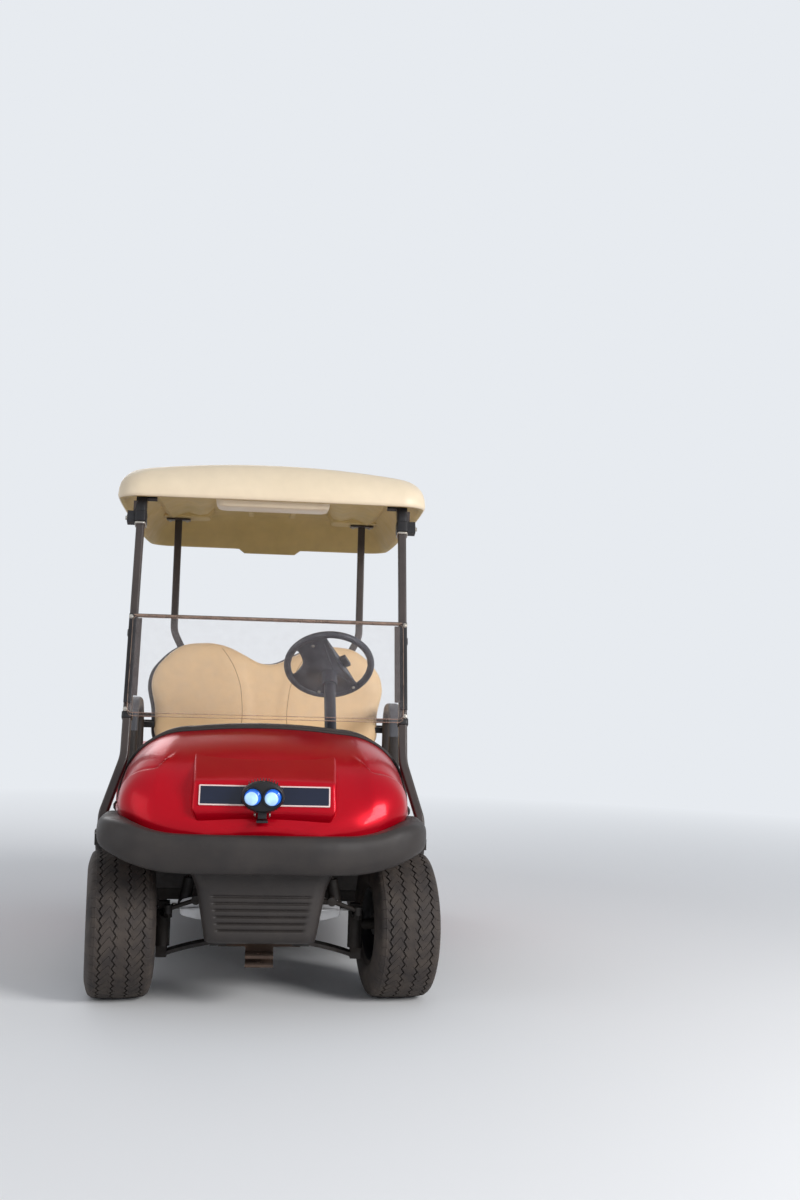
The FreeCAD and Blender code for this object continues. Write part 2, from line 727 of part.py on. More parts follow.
def make_steering():
    """Rack housing on the rails, and the rack with its two tie rods."""
    arm_y = front_axle - D.steering_arm
    arm_top = axle_height + 42
    level = rail_top + 28
    inner = D.rail_spacing / 2 + 24
    tube = rod("rack_tube", "X", 22, -inner, inner, (arm_y, level))
    bore = rod("rack_bore", "X", 10.5, -inner - 1, inner + 1, (arm_y, level))
    half = D.rail_spacing / 2
    saddles = [
        block(f"saddle_{name}", (half * s - 18, half * s + 18), (arm_y - 20, arm_y + 20), (rail_top, level))
        for s, name in ((1, "left"), (-1, "right"))
    ]
    tower = rod("pinion_tower", "Z", 18, level, level + 52, (half - 45, arm_y))
    keep("steering_gear", cut("gear_cut", fuse("gear_fuse", tube, *saddles, tower), bore))

    travel = D.steering_arm.value * math.sin(math.radians(D.steer_at_rest.value))
    end = kingpin - 10
    bar = rod("rack_bar", "X", 10, -inner - 66, inner + 66, (arm_y, level))
    pieces = [bar]
    for s, name in ((1, "left"), (-1, "right")):
        knob = ((inner + 62) * s, arm_y, level)
        eye = (end * s, arm_y, arm_top + 14)
        pieces.append(slanted_rod(f"tie_rod_{name}", 7, knob, eye))
        pieces.append(rod(f"tie_eye_{name}", "Z", 13, arm_top + 0.4, arm_top + 26, (end * s, arm_y)))
        pieces.append(rod(f"tie_joint_{name}", "Y", 14, arm_y - 12, arm_y + 12, (knob[0], level)))
    item = keep("rack_and_tie_rods", fuse("rack_fuse", *pieces))
    item.Placement = Placement(Vector(travel, 0, 0), Rotation())


# Rear axle, springs and dampers
def make_rear_axle():
    inner = rear_track / 2 - D.tyre_width / 2
    z = axle_height
    tube = rod("axle_tube", "X", 34, -inner - 30, inner + 30, (rear_axle, z))
    reach = rear_track / 2 + D.hub_reach - 30.3
    shaft = rod("half_shafts", "X", 17, -reach, reach, (rear_axle, z))
    gear = rod("gear_case", "X", 96, 30, 150, (rear_axle, z))
    pinion = rod("pinion_case", "X", 70, 20, 130, (rear_axle - 112, z + 30))
    motor = rod("motor", "X", 82, -190, 22, (rear_axle - 112, z + 30))
    cap = rod("motor_cap", "X", 60, -208, -188, (rear_axle - 112, z + 30))
    pads = []
    drums = []
    for side, name in ((1, "left"), (-1, "right")):
        x = (inner - 72) * side
        pads.append(block(f"spring_pad_{name}", (x - 25, x + 25), (rear_axle - 38, rear_axle + 38), (z - 40, z)))
        drum = ((inner - 8) * side, (inner + 44) * side)
        drum = drum if side > 0 else drum[::-1]
        drums.append(rod(f"drum_{name}", "X", 84, *drum, (rear_axle, z)))
    keep("rear_axle", fuse("rear_axle_fuse", tube, shaft, gear, pinion, motor, cap, *pads, *drums))

    x = inner - 72
    top = z - 46
    half = size_of(235)
    middle = rear_axle - 35
    rise = rail_top - D.cross_depth - top - 12
    radius = (half * half + rise * rise) / (rise * 2)
    leaf = [
        (middle - half, top + rise - 12, radius + 12),
        (middle + half, top + rise - 12),
        (middle + half, top + rise, -radius),
        (middle - half, top + rise),
    ]
    spring = prism("rear_leaf", "YZ", leaf, x - 24, x + 24)
    clamp = block("rear_clamp", (x - 26, x + 26), (rear_axle - 34, rear_axle + 34), (top - 14, z - 40))
    across = (x - 20, x + 20)
    eye = (middle - half - 14, middle - half + 10)
    front = block("spring_eye_front", across, eye, (top + rise - 14, rail_top + 15))
    shackle = (middle + half - 24, middle + half)
    back = block("spring_shackle", across, shackle, (top + rise - 14, D.rail_bottom + D.rail_kick))
    both_sides("rear_leaf_springs", fuse("rear_spring_left", spring, clamp, front, back))


def make_rear_dampers():
    """Short dampers behind the axle, up to the rear cross-member."""
    inner = rear_track / 2 - D.tyre_width / 2
    back = rear_plane - 65
    x = inner - 38
    z = axle_height
    foot = (x, rear_axle + 56, z + 14)
    head = (x, back - D.cross_depth - 26, D.rail_bottom + D.rail_kick + 66)
    a, b = Vector(*plain(*foot)), Vector(*plain(*head))
    split = a + (b - a) * 0.5
    body = slanted_rod("rear_damper_body", 19, (split.x, split.y, split.z), head)
    shaft = slanted_rod("rear_damper_rod", 9, foot, head)
    lug = block("rear_damper_lug", (x - 8, x + 14), (rear_axle + 34.3, rear_axle + 70), (z - 2, z + 26))
    bolt = block("rear_damper_bolt", (x - 10, x + 10), (head[1], back - D.cross_depth), (head[2] - 22, head[2] - 4))
    both_sides("rear_dampers", fuse("rear_damper_left", body, shaft, lug, bolt))


# Floor, sills and pedals
def make_floor():
    toe_top = D.dash_base - 0.3
    slope_top = dash_front + 40
    thick = D.floor_thickness
    pan = [
        (floor_front, rail_top),
        (seat_front, rail_top),
        (seat_front, floor_top),
        (floor_front + 6, floor_top),
        (slope_top + 12, toe_top - 78),
        (slope_top + 12, toe_top),
        (slope_top, toe_top),
        (slope_top, toe_top - 82),
    ]
    half = D.floor_width / 2
    flat = seat_front - floor_front
    base = prism("floor_base", "YZ", pan, -half, half)
    ribs = []
    count = 9
    for row in range(count):
        x = (row - (count - 1) / 2) * (D.floor_width / (count + 1))
        ribs.append(block(f"floor_rib_{row}", (x - 9, x + 9), (floor_front + flat * 0.155, seat_front - flat * 0.08), (floor_top - 1, floor_top + 4)))
    shroud = D.column_radius + 14
    notch = block("column_notch", (229 - shroud, 229 + shroud), (slope_top - 5, slope_top + 20), (toe_top - 50, toe_top + 5))
    keep("floor_pan", cut("floor_cut", fuse("floor_fuse", base, *ribs), notch))

    arch = rear_axle - D.arch_radius - 8
    sill = [
        (floor_front + 8, D.sill_bottom),
        (arch, D.sill_bottom),
        (arch, D.sill_top),
        (floor_front + 70, D.sill_top),
        (slope_top + 70, toe_top - 60),
        (slope_top, toe_top - 60),
        (slope_top, toe_top - 86),
        (floor_front + 4, rail_top),
    ]
    half_sill = D.sill_width / 2
    solid = prism("sill_solid", "YZ", sill, half + 0.3, half_sill)
    soft = rounded("sill_round", solid, 16, lambda e: abs(e.BoundBox.XMin - half_sill.value) < 0.1
                   and abs(e.BoundBox.XMax - half_sill.value) < 0.1)
    both_sides("sills", soft)

    pedals = []
    for name, x, wide in (("brake", size_of(185), 50), ("drive", size_of(300), 38)):
        lean = [
            (floor_front + 34, floor_top),
            (floor_front + 64, floor_top),
            (floor_front + 22, floor_top + 54),
            (floor_front - 40, floor_top + 148),
            (floor_front - 56, floor_top + 138),
            (floor_front + 2, floor_top + 46),
        ]
        pad = prism(f"{name}_pad", "YZ", lean, x - wide, x + wide)
        ribs = [
            prism(f"{name}_rib_{n}", "YZ", [
                (floor_front + 12 - 12 * n, floor_top + 72 + 18 * n),
                (floor_front + 16 - 12 * n, floor_top + 74 + 18 * n),
                (floor_front + 12 - 12 * n, floor_top + 80 + 18 * n),
                (floor_front + 6 - 12 * n, floor_top + 78 + 18 * n),
            ], x - wide + 6, x + wide - 6)
            for n in range(4)
        ]
        pedals.append(fuse(f"{name}_pedal", pad, *ribs))
    item = doc.addObject("Part::Compound", "pedal_pair")
    item.Links = pedals
    keep("pedals", item)


# Front body: a shell lofted through arched sections, with the ledge that carries the plate
# Each row: distance behind the nose, half width, where the side starts to arch, half width of the
# crown, and how far the crown and its shoulder lie below the cowl's height.
COWL_SECTIONS = [
    (78, 150, 535, 105, 274),
    (100, 280, 562, 205, 226),
    (140, 368, 588, 262, 168),
    (210, 410, 606, 282, 106),
    (310, 421, 615, 276, 56),
    (530, 450, 620, 238, 0),
]


def cowl_level(z):
    """A height on the cowl as drawn, from 505 to 840, at the cowl's real size."""
    base = D.cowl_base.value
    return base + (z - 505) * (D.cowl_height.value - base) / 335


def cowl_section(row, inset, extra_base=0.0):
    """One arched cross-section of the cowl, moved inwards by inset."""
    back, half, side_top, crown_half, drop = row
    wide = half * D.cowl_width.value / 900 - inset
    y = nose.value + back
    height = cowl_level(840 - drop) - inset
    base = D.cowl_base.value - extra_base
    shoulder = height - 14
    side_top = cowl_level(side_top)
    crown = crown_half * D.cowl_width.value / 900 - inset * 0.5
    reach_x, reach_z = wide - crown, shoulder - side_top
    knee = Vector(crown + reach_x * math.sin(math.radians(47)), y, side_top + reach_z * math.cos(math.radians(47)))
    points = [Vector(wide, y, base), Vector(wide, y, side_top), Vector(crown, y, shoulder)]
    left = [Vector(-p.x, p.y, p.z) for p in points]
    other = Vector(-knee.x, knee.y, knee.z)
    return Part.Wire([
        Part.makeLine(left[0], points[0]),
        Part.makeLine(points[0], points[1]),
        Part.Arc(points[1], knee, points[2]).toShape(),
        Part.Arc(points[2], Vector(0, y, height), left[2]).toShape(),
        Part.Arc(left[2], other, left[1]).toShape(),
        Part.makeLine(left[1], left[0]),
    ])


def cowl_loft(inset, extra_base=0.0, ahead=0.0, behind=0.0):
    """The cowl as a solid, moved inwards by inset."""
    rows = [list(row) for row in COWL_SECTIONS]
    rows[0][0] += ahead
    rows[-1][0] += behind
    return Part.makeLoft([cowl_section(r, inset, extra_base) for r in rows], True, False)


def ledge_points():
    """Side view of the raised block on the nose: underside, plate face and top."""
    y = nose.value
    side = [(100, 599), (90, 613), (113, 694), (262, 757), (262, 599)]
    return [(y + back, cowl_level(z)) for back, z in side]


def make_front_body():
    outer = cowl_loft(0)
    inner = cowl_loft(D.cowl_wall.value, 40, 6, 20)
    half = D.badge_ledge_width.value / 2
    points = [Vector(-half, y, z) for y, z in ledge_points()]
    ledge = Part.Face(Part.makePolygon(points + points[:1])).extrude(Vector(2 * half, 0, 0))
    shell = outer.fuse(ledge).cut(inner)
    keep("front_body", feature("front_body_shell", shell.removeSplitter()))

    low, high = ledge_points()[1:3]
    slope = math.degrees(math.atan2(high[0] - low[0], high[1] - low[1]))
    middle = Vector(0, (low[0] + high[0]) / 2, (low[1] + high[1]) / 2)
    tilt = Placement(middle, Rotation(Vector(1, 0, 0), -slope))
    long, tall, thick = plain(D.plate_length, D.plate_height, D.plate_thickness)
    plate = doc.addObject("Part::Box", "name_plate_box")
    bind(plate, Length=D.plate_length, Width=D.plate_thickness, Height=D.plate_height)
    plate.Placement = tilt * Placement(Vector(-long / 2, -thick, -tall / 2), Rotation())
    keep("name_plate", plate)
    make_spot_lamp(tilt, thick)


def make_spot_lamp(tilt, plate_thickness):
    """Twin spot lamp in front of the plate, with fins and a foot on the body."""
    wide, high, deep = plain(D.lamp_width, D.lamp_height, D.lamp_depth)
    upright = Placement(tilt.Base, Rotation())
    oval = Part.Ellipse(Vector(), wide / 2, high / 2).toShape()
    case = Part.Face(Part.Wire(oval)).extrude(Vector(0, 0, deep))
    stand = 20 + plate_thickness
    facing = Placement(Vector(-6, -stand, 4), Rotation(Vector(1, 0, 0), 90))
    case.Placement = facing
    centre = D.lens_radius.value + 2.5
    holes = [
        Part.makeCylinder(D.lens_radius.value + 0.3, 20, Vector(x, 0, deep - 12), Vector(0, 0, 1))
        for x in (-centre, centre)
    ]
    lenses = []
    for x in (-centre, centre):
        lens = Part.makeCylinder(D.lens_radius.value, 9, Vector(x, 0, deep - 12), Vector(0, 0, 1))
        lenses.append(lens)
    for piece in holes + lenses:
        piece.Placement = facing * piece.Placement
    fins = []
    for n in range(7):
        fin = Part.makeBox(2.4, 14, high * 0.94, Vector(-6 - 25.2 + n * 8, -stand - 1, 4 - high * 0.47))
        fins.append(fin)
    foot = Part.makeBox(26, 10, 34, Vector(-19, -stand - 22, 4 - high / 2 - 22))
    base = Part.makeBox(34, stand + 12, 6, Vector(-23, -stand - 22, 4 - high / 2 - 28))
    lamp = case.fuse(fins + [foot, base])
    for hole in holes:
        lamp = lamp.cut(hole)
    low = ledge_points()[0]
    shelf = Part.makeBox(400, 300, 100, Vector(-200, low[0], low[1] - 40))
    lamp.Placement = upright
    lamp = lamp.cut(shelf).cut(nodes["front_body"].Shape).cut(plate_solid(tilt))
    lamp = max(lamp.Solids, key=lambda s: s.Volume)
    keep("spot_lamp", feature("spot_lamp_case", lamp))
    glass = Part.makeCompound([lens.copy() for lens in lenses])
    for lens in glass.Solids:
        lens.Placement = lens.Placement
    glass.Placement = upright
    keep("spot_lamp_lenses", feature("spot_lamp_glass", glass))


def plate_solid(tilt):
    """The name plate's own volume, for cutting what stands in front of it."""
    long, tall, thick = plain(D.plate_length, D.plate_height, D.plate_thickness)
    solid = Part.makeBox(long, thick, tall)
    solid.Placement = tilt * Placement(Vector(-long / 2, -thick, -tall / 2), Rotation())
    return solid


def make_bumper():
    """Front bumper: one round-cornered section carried round the nose, with rounded ends."""
    deep, high, wide = plain(D.bumper_depth, D.bumper_height, D.bumper_width)
    z = D.bumper_middle.value
    side = wide / 2 - deep / 2
    front = nose.value + deep / 2
    end = front_axle.value - 70
    rise = D.bumper_rise.value
    half = [
        Vector(side, end, z + rise), Vector(side, nose.value + 212, z + rise),
        Vector(side, nose.value + 95, z + rise * 0.45), Vector(170, front, z),
    ]
    points = half + [Vector(-p.x, p.y, p.z) for p in reversed(half)]
    path = smooth_path(points, [300, 105, 560, 560, 105, 300])
    section = rounded_section(deep, high, deep * 0.46, half[0], (0, -1, 0), Vector(0, 0, 1))
    bar = upright_sweep(path, section)
    ends = []
    for s in (1, -1):
        centre = Vector(side * s, end, z + rise)
        half_section = Part.Face(rounded_section(deep, high, deep * 0.46, centre, (0, -1, 0), Vector(0, 0, 1)))
        keepers = Part.makeBox(deep, 2, high, Vector(side * s, end - 1, z + rise - high / 2))
        face = half_section.common(keepers)
        ends.append(face.revolve(centre, Vector(0, 0, 1), 180))
    keep("front_bumper", feature("front_bumper_bar", bar.fuse(ends).removeSplitter()))


def make_fascia():
    """Ribbed panel under the bumper: a tapered hollow tray with horizontal grooves."""
    body = doc.addObject("PartDesign::Body", "fascia_body")
    top, bottom = D.fascia_top_width / 2, D.fascia_bottom_width / 2
    low, high = D.fascia_bottom, D.fascia_top
    outline = [(-bottom, low), (bottom, low), (top, high), (-top, high)]
    wall = 6
    panel = body_sketch(body, "fascia_outline", "XZ_Plane", [outline])
    bind(panel, AttachmentOffset__Base__z=-(nose + 190))
    pad = body.newObject("PartDesign::Pad", "fascia_pad")
    pad.Profile = panel
    bind(pad, Length=92)
    doc.recompute()
    inner = [(-bottom + wall, low + wall), (bottom - wall, low + wall), (top - wall, high + 2), (-top + wall, high + 2)]
    hollow = body_sketch(body, "fascia_inside", "XZ_Plane", [inner])
    bind(hollow, AttachmentOffset__Base__z=-(nose + 191))
    room = body.newObject("PartDesign::Pocket", "fascia_room")
    room.Profile = hollow
    room.Reversed = True
    bind(room, Length=82)
    doc.recompute()
    pitch = (high - low - 60) / 8
    slot = [
        (-bottom + 14, low + 26),
        (bottom - 14, low + 26),
        (bottom - 14, low + 34),
        (-bottom + 14, low + 34),
    ]
    groove = body_sketch(body, "fascia_groove", "XZ_Plane", [slot])
    bind(groove, AttachmentOffset__Base__z=-(nose + 98))
    pocket = body.newObject("PartDesign::Pocket", "fascia_pocket")
    pocket.Profile = groove
    bind(pocket, Length=5)
    doc.recompute()
    rows = body.newObject("PartDesign::LinearPattern", "fascia_rows")
    rows.Originals = [pocket]
    rows.Direction = (groove, ["V_Axis"])
    rows.Occurrences = 8
    bind(rows, Length=pitch * 7)
    body.Tip = rows
    keep("front_fascia", body)

    half = D.tow_hole_radius + 34
    mid = front_axle - 180
    low_z = D.rail_bottom - 30
    plate = D.tow_plate
    ears = [
        block(f"tow_ear_{n}", (-half, half), (mid - 60, mid + 40), (low_z - n * 26, low_z - n * 26 + plate))
        for n in (0, 1)
    ]
    stem = block("tow_stem", (-half, half), (mid + 10, mid + 40), (low_z - 26, D.rail_bottom))
    wings = block("tow_wings", (-D.rail_spacing / 2, D.rail_spacing / 2), (mid + 10, mid + 40), (D.rail_bottom - 8, D.rail_bottom))
    hole = rod("tow_hole", "Z", D.tow_hole_radius, low_z - 30, low_z + 12, (0, mid - 25))
    keep("tow_bracket", cut("tow_cut", fuse("tow_fuse", *ears, stem, wings), hole))


# Dash, steering column and wheel
def column_axis():
    """The hub's centre and the direction from the dash up to the driver."""
    angle = math.radians(D.column_angle.value)
    hub = Vector(229, dash_front.value + 520, 1060)
    return hub, Vector(0, math.cos(angle), math.sin(angle))


def make_dash():
    lip = D.dash_lip.value
    row = list(COWL_SECTIONS[-1])
    row[1] += lip
    row[4] -= lip
    gap = 0.3
    row[0] += gap
    wire = cowl_section(row, 0)
    deep = D.dash_depth.value
    face = Part.Face(wire).extrude(Vector(0, deep, 0))
    below = Part.makeBox(2000, 400, D.dash_base.value, Vector(-1000, dash_front.value - 100, 0))
    panel = face.cut(below)
    y = dash_front.value
    rear = y + deep + gap
    tubs, rooms = [], []
    sill, top = cowl_level(662), cowl_level(758)
    for low, high in ((52, 300), (-300, -52)):
        tubs.append(Part.makeBox(high - low, 60, top - sill, Vector(low, y - 58, sill)))
        rooms.append(Part.makeBox(high - low - 10, deep + 58, top - sill - 12, Vector(low + 5, y - 52, sill + 7)))
    ledge = cowl_level(588)
    shelf = Part.makeBox(252, 92, 56, Vector(-126, rear - 0.5, ledge))
    cups = [Part.makeCylinder(38, 60, Vector(x, rear + 45, ledge + 9), Vector(0, 0, 1)) for x in (-60, 60)]
    hub, way = column_axis()
    slot = Part.makeCylinder(D.column_radius.value + 8, 900, hub - way * 860, way)
    shape = panel.fuse(tubs + [shelf])
    for tool in rooms + cups + [slot]:
        shape = shape.cut(tool)
    keep("dash_panel", feature("dash_shape", shape.removeSplitter()))


def make_column():
    hub, way = column_axis()
    radius = D.column_radius.value
    reach = (hub.y - dash_front.value + 60) / way.y
    foot = hub - way * reach
    tube = Part.makeCylinder(radius, reach - 46, foot, way)
    collar = Part.makeCylinder(radius + 7, 60, hub - way * 108, way)
    pinion = Vector(D.rail_spacing.value / 2 - 45, front_axle.value - D.steering_arm.value, rail_top.value + 80.3)
    joint = foot + way * 4
    shaft = Part.makeCylinder(9, (pinion - joint).Length, joint, pinion - joint)
    knob = Part.makeSphere(16, joint)
    cap = Part.makeCylinder(15, 22, pinion, Vector(0, 0, 1))
    trim = Part.makeBox(80, 80, 60, pinion - Vector(40, 40, 60))
    solid = tube.fuse([collar, knob, shaft, cap]).cut(trim)
    keep("steering_column", feature("column_shape", solid.removeSplitter()))


def make_steering_wheel():
    """Rim, two side spokes, a wide lower web and a domed hub, turned as in the photograph."""
    hub, way = column_axis()
    ring, grip = plain(D.wheel_rim_radius, D.wheel_grip_radius)
    rim = Part.makeTorus(ring, grip)
    dome = Part.makeCone(58, 42, 26, Vector(0, 0, -18))
    boss = Part.makeCylinder(20, 33.7, Vector(0, 0, -45.7))
    spokes = []
    for angle in (20, 160, 235, 270, 305):
        wide = 40 if angle in (20, 160) else 46
        spoke = Part.makeBox(ring - 40, wide, 11, Vector(38, -wide / 2, -10))
        spoke.rotate(Vector(), Vector(0, 0, 1), angle)
        spokes.append(spoke)
    plate = Part.makeBox(64, 44, 9, Vector(-32, 20, 6))
    wheel = rim.fuse([dome, boss, plate] + spokes)
    turned = Rotation(Vector(0, 0, 1), 52)
    upright = Rotation(Vector(1, 0, 0), -(90 - D.column_angle.value))
    item = keep("steering_wheel", feature("steering_wheel_shape", wheel.removeSplitter()))
    item.Placement = Placement(hub, upright * turned)


# Rear body, seat box, bag well
def make_rear_body():
    wall = D.body_wall
    wide, narrow = D.rear_width / 2, D.sill_width / 2
    bag = bag_well_width / 2
    front, back = seat_front + 4, rear_plane
    deck, fender = D.deck_height, D.fender_height

    def plan(inset):
        return [
            (-(narrow - inset), front + inset),
            (narrow - inset, front + inset),
            (narrow - inset, seat_front + 330),
            (wide - 35 - inset, rear_axle - D.arch_radius - 20),
            (wide - inset, rear_axle - 110),
            (wide - inset, back - 90),
            (wide - 90 + 0, back - inset),
            (-(wide - 90), back - inset),
            (-(wide - inset), back - 90),
            (-(wide - inset), rear_axle - 110),
            (-(wide - 35 - inset), rear_axle - D.arch_radius - 20),
            (-(narrow - inset), seat_front + 330),
        ]

    def side(inset, low):
        return [
            (front - inset, low),
            (back + inset, low),
            (back + inset, fender - 62 - inset),
            (back - 130, fender - 14 - inset),
            (rear_axle - 20, fender - inset),
            (box_rear + 60, fender - 10 - inset),
            (box_rear - 20, deck - inset),
            (front - inset, deck - inset),
        ]

    base = D.sill_top + 0.3
    outer = common("rear_outer",
                   prism("rear_plan", "XY", plan(size_of(0)), base, fender),
                   prism("rear_side", "YZ", side(size_of(0), base), -wide, wide))
    room = common("rear_room",
                  prism("rear_plan_in", "XY", plan(wall), base - 20, fender),
                  prism("rear_side_in", "YZ", side(wall, base - 20), -wide, wide))
    post_x, post_y = rear_post_foot()
    holes = [
        block(f"post_hole_{n}", (post_x * n - 22, post_x * n + 22), (post_y - 26, bag_front + 1), (base, fender + 10))
        for n in (1, -1)
    ]
    seat_hole = block("seat_hole", (-(D.seat_width / 2 + 8), D.seat_width / 2 + 8), (front - 20, box_rear + 8), (base, fender))
    box_hole = block("front_hole", (-(D.box_width / 2 + 8), D.box_width / 2 + 8), (front - 20, front + 40), (base - 5, fender))
    bag_hole = block("bag_hole", (-(bag + 0.3), bag + 0.3), (bag_front - 0.3, back + 20), (base - 5, fender + 10))
    arch = rod("arch", "X", D.arch_radius, -wide - 5, wide + 5, (rear_axle, axle_height))
    skirt = block("tail_skirt", (-wide - 5, wide + 5), (rear_axle + 140, back + 20), (base - 10, D.tail_base + 0.3))
    shell = cut("rear_shell", outer, room)
    keep("rear_body", cut("rear_body_cut", shell, seat_hole, box_hole, bag_hole, arch, skirt, *holes))


def seat_hinge():
    """The axis of the seat's hinges, as two distances: just in front of the pan, halfway up its edge."""
    return seat_front + 2, seat_base + 4.5


def make_seat_box():
    half, wall = D.box_width / 2, D.box_wall
    top = seat_base - D.seat_gap
    outer = block("box_outer", (-half, half), (seat_front + 0.3, box_rear - 6), (rail_top, top))
    room = block("box_room", (-half + wall, half - wall), (seat_front + 0.3 + wall, box_rear - 6 - wall), (rail_top - 5, top + 5))
    ring = block("box_flange", (-half - 4, half + 4), (seat_front + 0.3, box_rear - 2), (top - 6, top))
    hole = block("box_flange_hole", (-half + 30, half - 30), (seat_front + 40, box_rear - 70), (top - 10, top + 5))
    shell = cut("box_shell", outer, room)
    flange = cut("box_flange_cut", ring, hole)
    radius = D.seat_hinge_radius
    pivot_y, pivot_z = seat_hinge()
    barrels = []
    for side, name in ((1, "left"), (-1, "right")):
        for part, inner, outer_end in (("inner", 280, 299.7), ("outer", 330.3, 350)):
            x = (size_of(inner * side), size_of(outer_end * side))[::side]
            barrels.append(rod(f"hinge_{part}_{name}", "X", radius, *x, (pivot_y, pivot_z)))
            leaf = (seat_front - 2.2, seat_front + 3), (pivot_z - 16, pivot_z)
            barrels.append(block(f"hinge_leaf_{part}_{name}", x, *leaf))
    panel = (floor_top + seat_base) / 2 + 26
    recess = block("switch_recess", (-60, 60), (seat_front, seat_front + 3), (panel - 40, panel + 40))
    keep("seat_box", cut("seat_box_cut", fuse("seat_box_fuse", shell, flange, *barrels), recess))

    plate = block("switch_plate", (-58, 58), (seat_front + 0.3 - 3, seat_front + 3), (panel - 38, panel + 38))
    key = rod("switch_key", "Y", 11, seat_front - 14, seat_front, (-28, panel))
    rocker = block("switch_rocker", (10, 44), (seat_front - 10, seat_front), (panel - 20, panel + 20))
    keep("switch_panel", fuse("switch_fuse", plate, key, rocker))

    blocks = []
    gap = 4
    for column in (-1, 0, 1):
        for row in (0, 1):
            x = column * (D.battery_length + gap)
            y = seat_front + 36 + row * (D.battery_depth + gap)
            low = rail_top
            blocks.append(block(f"battery_{column + 1}_{row}", (x - D.battery_length / 2, x + D.battery_length / 2), (y, y + D.battery_depth), (low, D.deck_height - D.battery_room)))
    pack = doc.addObject("Part::Compound", "battery_blocks")
    pack.Links = blocks
    keep("battery_pack", pack)


def make_bag_well():
    half, wall = bag_well_width / 2, D.bag_well_wall
    low = D.bag_well_floor
    top = D.fender_height - 20
    back = rear_plane
    outer = block("well_outer", (-half, half), (bag_front, back), (low - wall, top))
    room = block("well_room", (-half + wall, half - wall), (bag_front + wall, back + 5), (low, top + 5))
    wall_top = block("well_front", (-half, half), (bag_front, bag_front + wall), (top, top + 60))
    lip = block("well_lip", (-half, half), (back - wall, back), (low, low + 26))
    ribs = []
    for n in range(6):
        middle = half * ((n + 1) / 3.5 - 1)
        ribs.append(block(f"well_rib_{n}", (middle - 6, middle + 6), (bag_front + wall, back - 30), (low, low + 6)))
    keep("bag_well", fuse("bag_well_fuse", cut("well_cut", outer, room), wall_top, lip, *ribs))

    half_bar = D.rear_width / 2 - 22
    base = D.tail_base - 0.3
    height = (base - 98, base)
    corner = 74
    plan = [
        (-half_bar, tail - 60),
        (-half_bar + 4, tail - 60),
        (-half_bar + corner, tail - 62),
        (half_bar - corner, tail - 62),
        (half_bar - 4, tail - 60),
        (half_bar, tail - 60),
        (half_bar, tail - corner + 16, corner - 10),
        (half_bar - corner + 10, tail),
        (-half_bar + corner - 10, tail, corner - 10),
        (-half_bar, tail - corner + 16),
    ]
    bar = prism("rear_bar", "XY", plan, *height)
    slots, lights = [], []
    for side, name in ((1, "left"), (-1, "right")):
        mid = (half_bar - 130) * side
        x = (mid - 55, mid + 55)
        slots.append(block(f"light_slot_{name}", x, (tail - 6, tail + 5), (base - 70, base - 28)))
        lights.append(block(f"light_{name}", (x[0] + 0.3, x[1] - 0.3), (tail - 6, tail - 0.5), (base - 69.7, base - 28.3)))
    keep("rear_bumper", cut("rear_bumper_cut", bar, *slots))
    pair = doc.addObject("Part::Compound", "reflector_pair")
    pair.Links = lights
    keep("rear_reflectors", pair)


# Seat, backrest and hip restraints
def make_seat():
    half = D.seat_width / 2
    low = D.deck_height
    high = low + D.seat_thickness
    pad = block("seat_pad", (-half, half), (seat_front - 6, seat_front + D.seat_depth), (low, high))

    def rim(e):
        box = e.BoundBox
        upright = box.ZLength > 50 and box.XLength < 1 and box.YLength < 1
        return upright or abs(box.ZMin - high.value) < 0.1

    keep("seat_cushion", rounded("seat_pad_round", pad, 32, rim))
    inset = 14
    pan = block("pan", (-half + inset, half - inset), (seat_front + 4, seat_front + D.seat_depth - 4), (seat_base, low))
    radius = D.seat_hinge_radius
    centre = seat_hinge()
    barrels, notches = [], []
    for n, name in ((1, "left"), (-1, "right")):
        barrels.append(rod(f"pan_hinge_{name}", "X", radius, *sorted((300 * n, 330 * n)), centre))
        for m, (near, far) in enumerate(((279.5, 300), (330, 350.5))):
            notches.append(rod(f"pan_notch_{name}_{m}", "X", radius + 0.5, *sorted((near * n, far * n)), centre))
    keep("seat_pan", fuse("seat_pan_fuse", cut("seat_pan_cut", pan, *notches), *barrels))


def backrest_outline(grow):
    """Half of the two-humped outline of the backrest, as (x, height) with the arcs between."""
    g = grow
    wide = D.backrest_width.value / 2 + g
    low = D.backrest_bottom.value - D.backrest_skirt.value - g
    waist = D.backrest_bottom.value
    top = D.backrest_top.value + g
    dip = top - 76 + g * 0.2
    return [
        (0, low), (wide - 62, low), (wide - 34, low + 12), (wide - 23, low + 42),
        (wide - 19, waist + 72), (wide, waist + 165),
        (wide - 30, top - 95), (wide - 140, top - 8), (wide - 232, top), (110, top - 38), (0, dip),
    ]


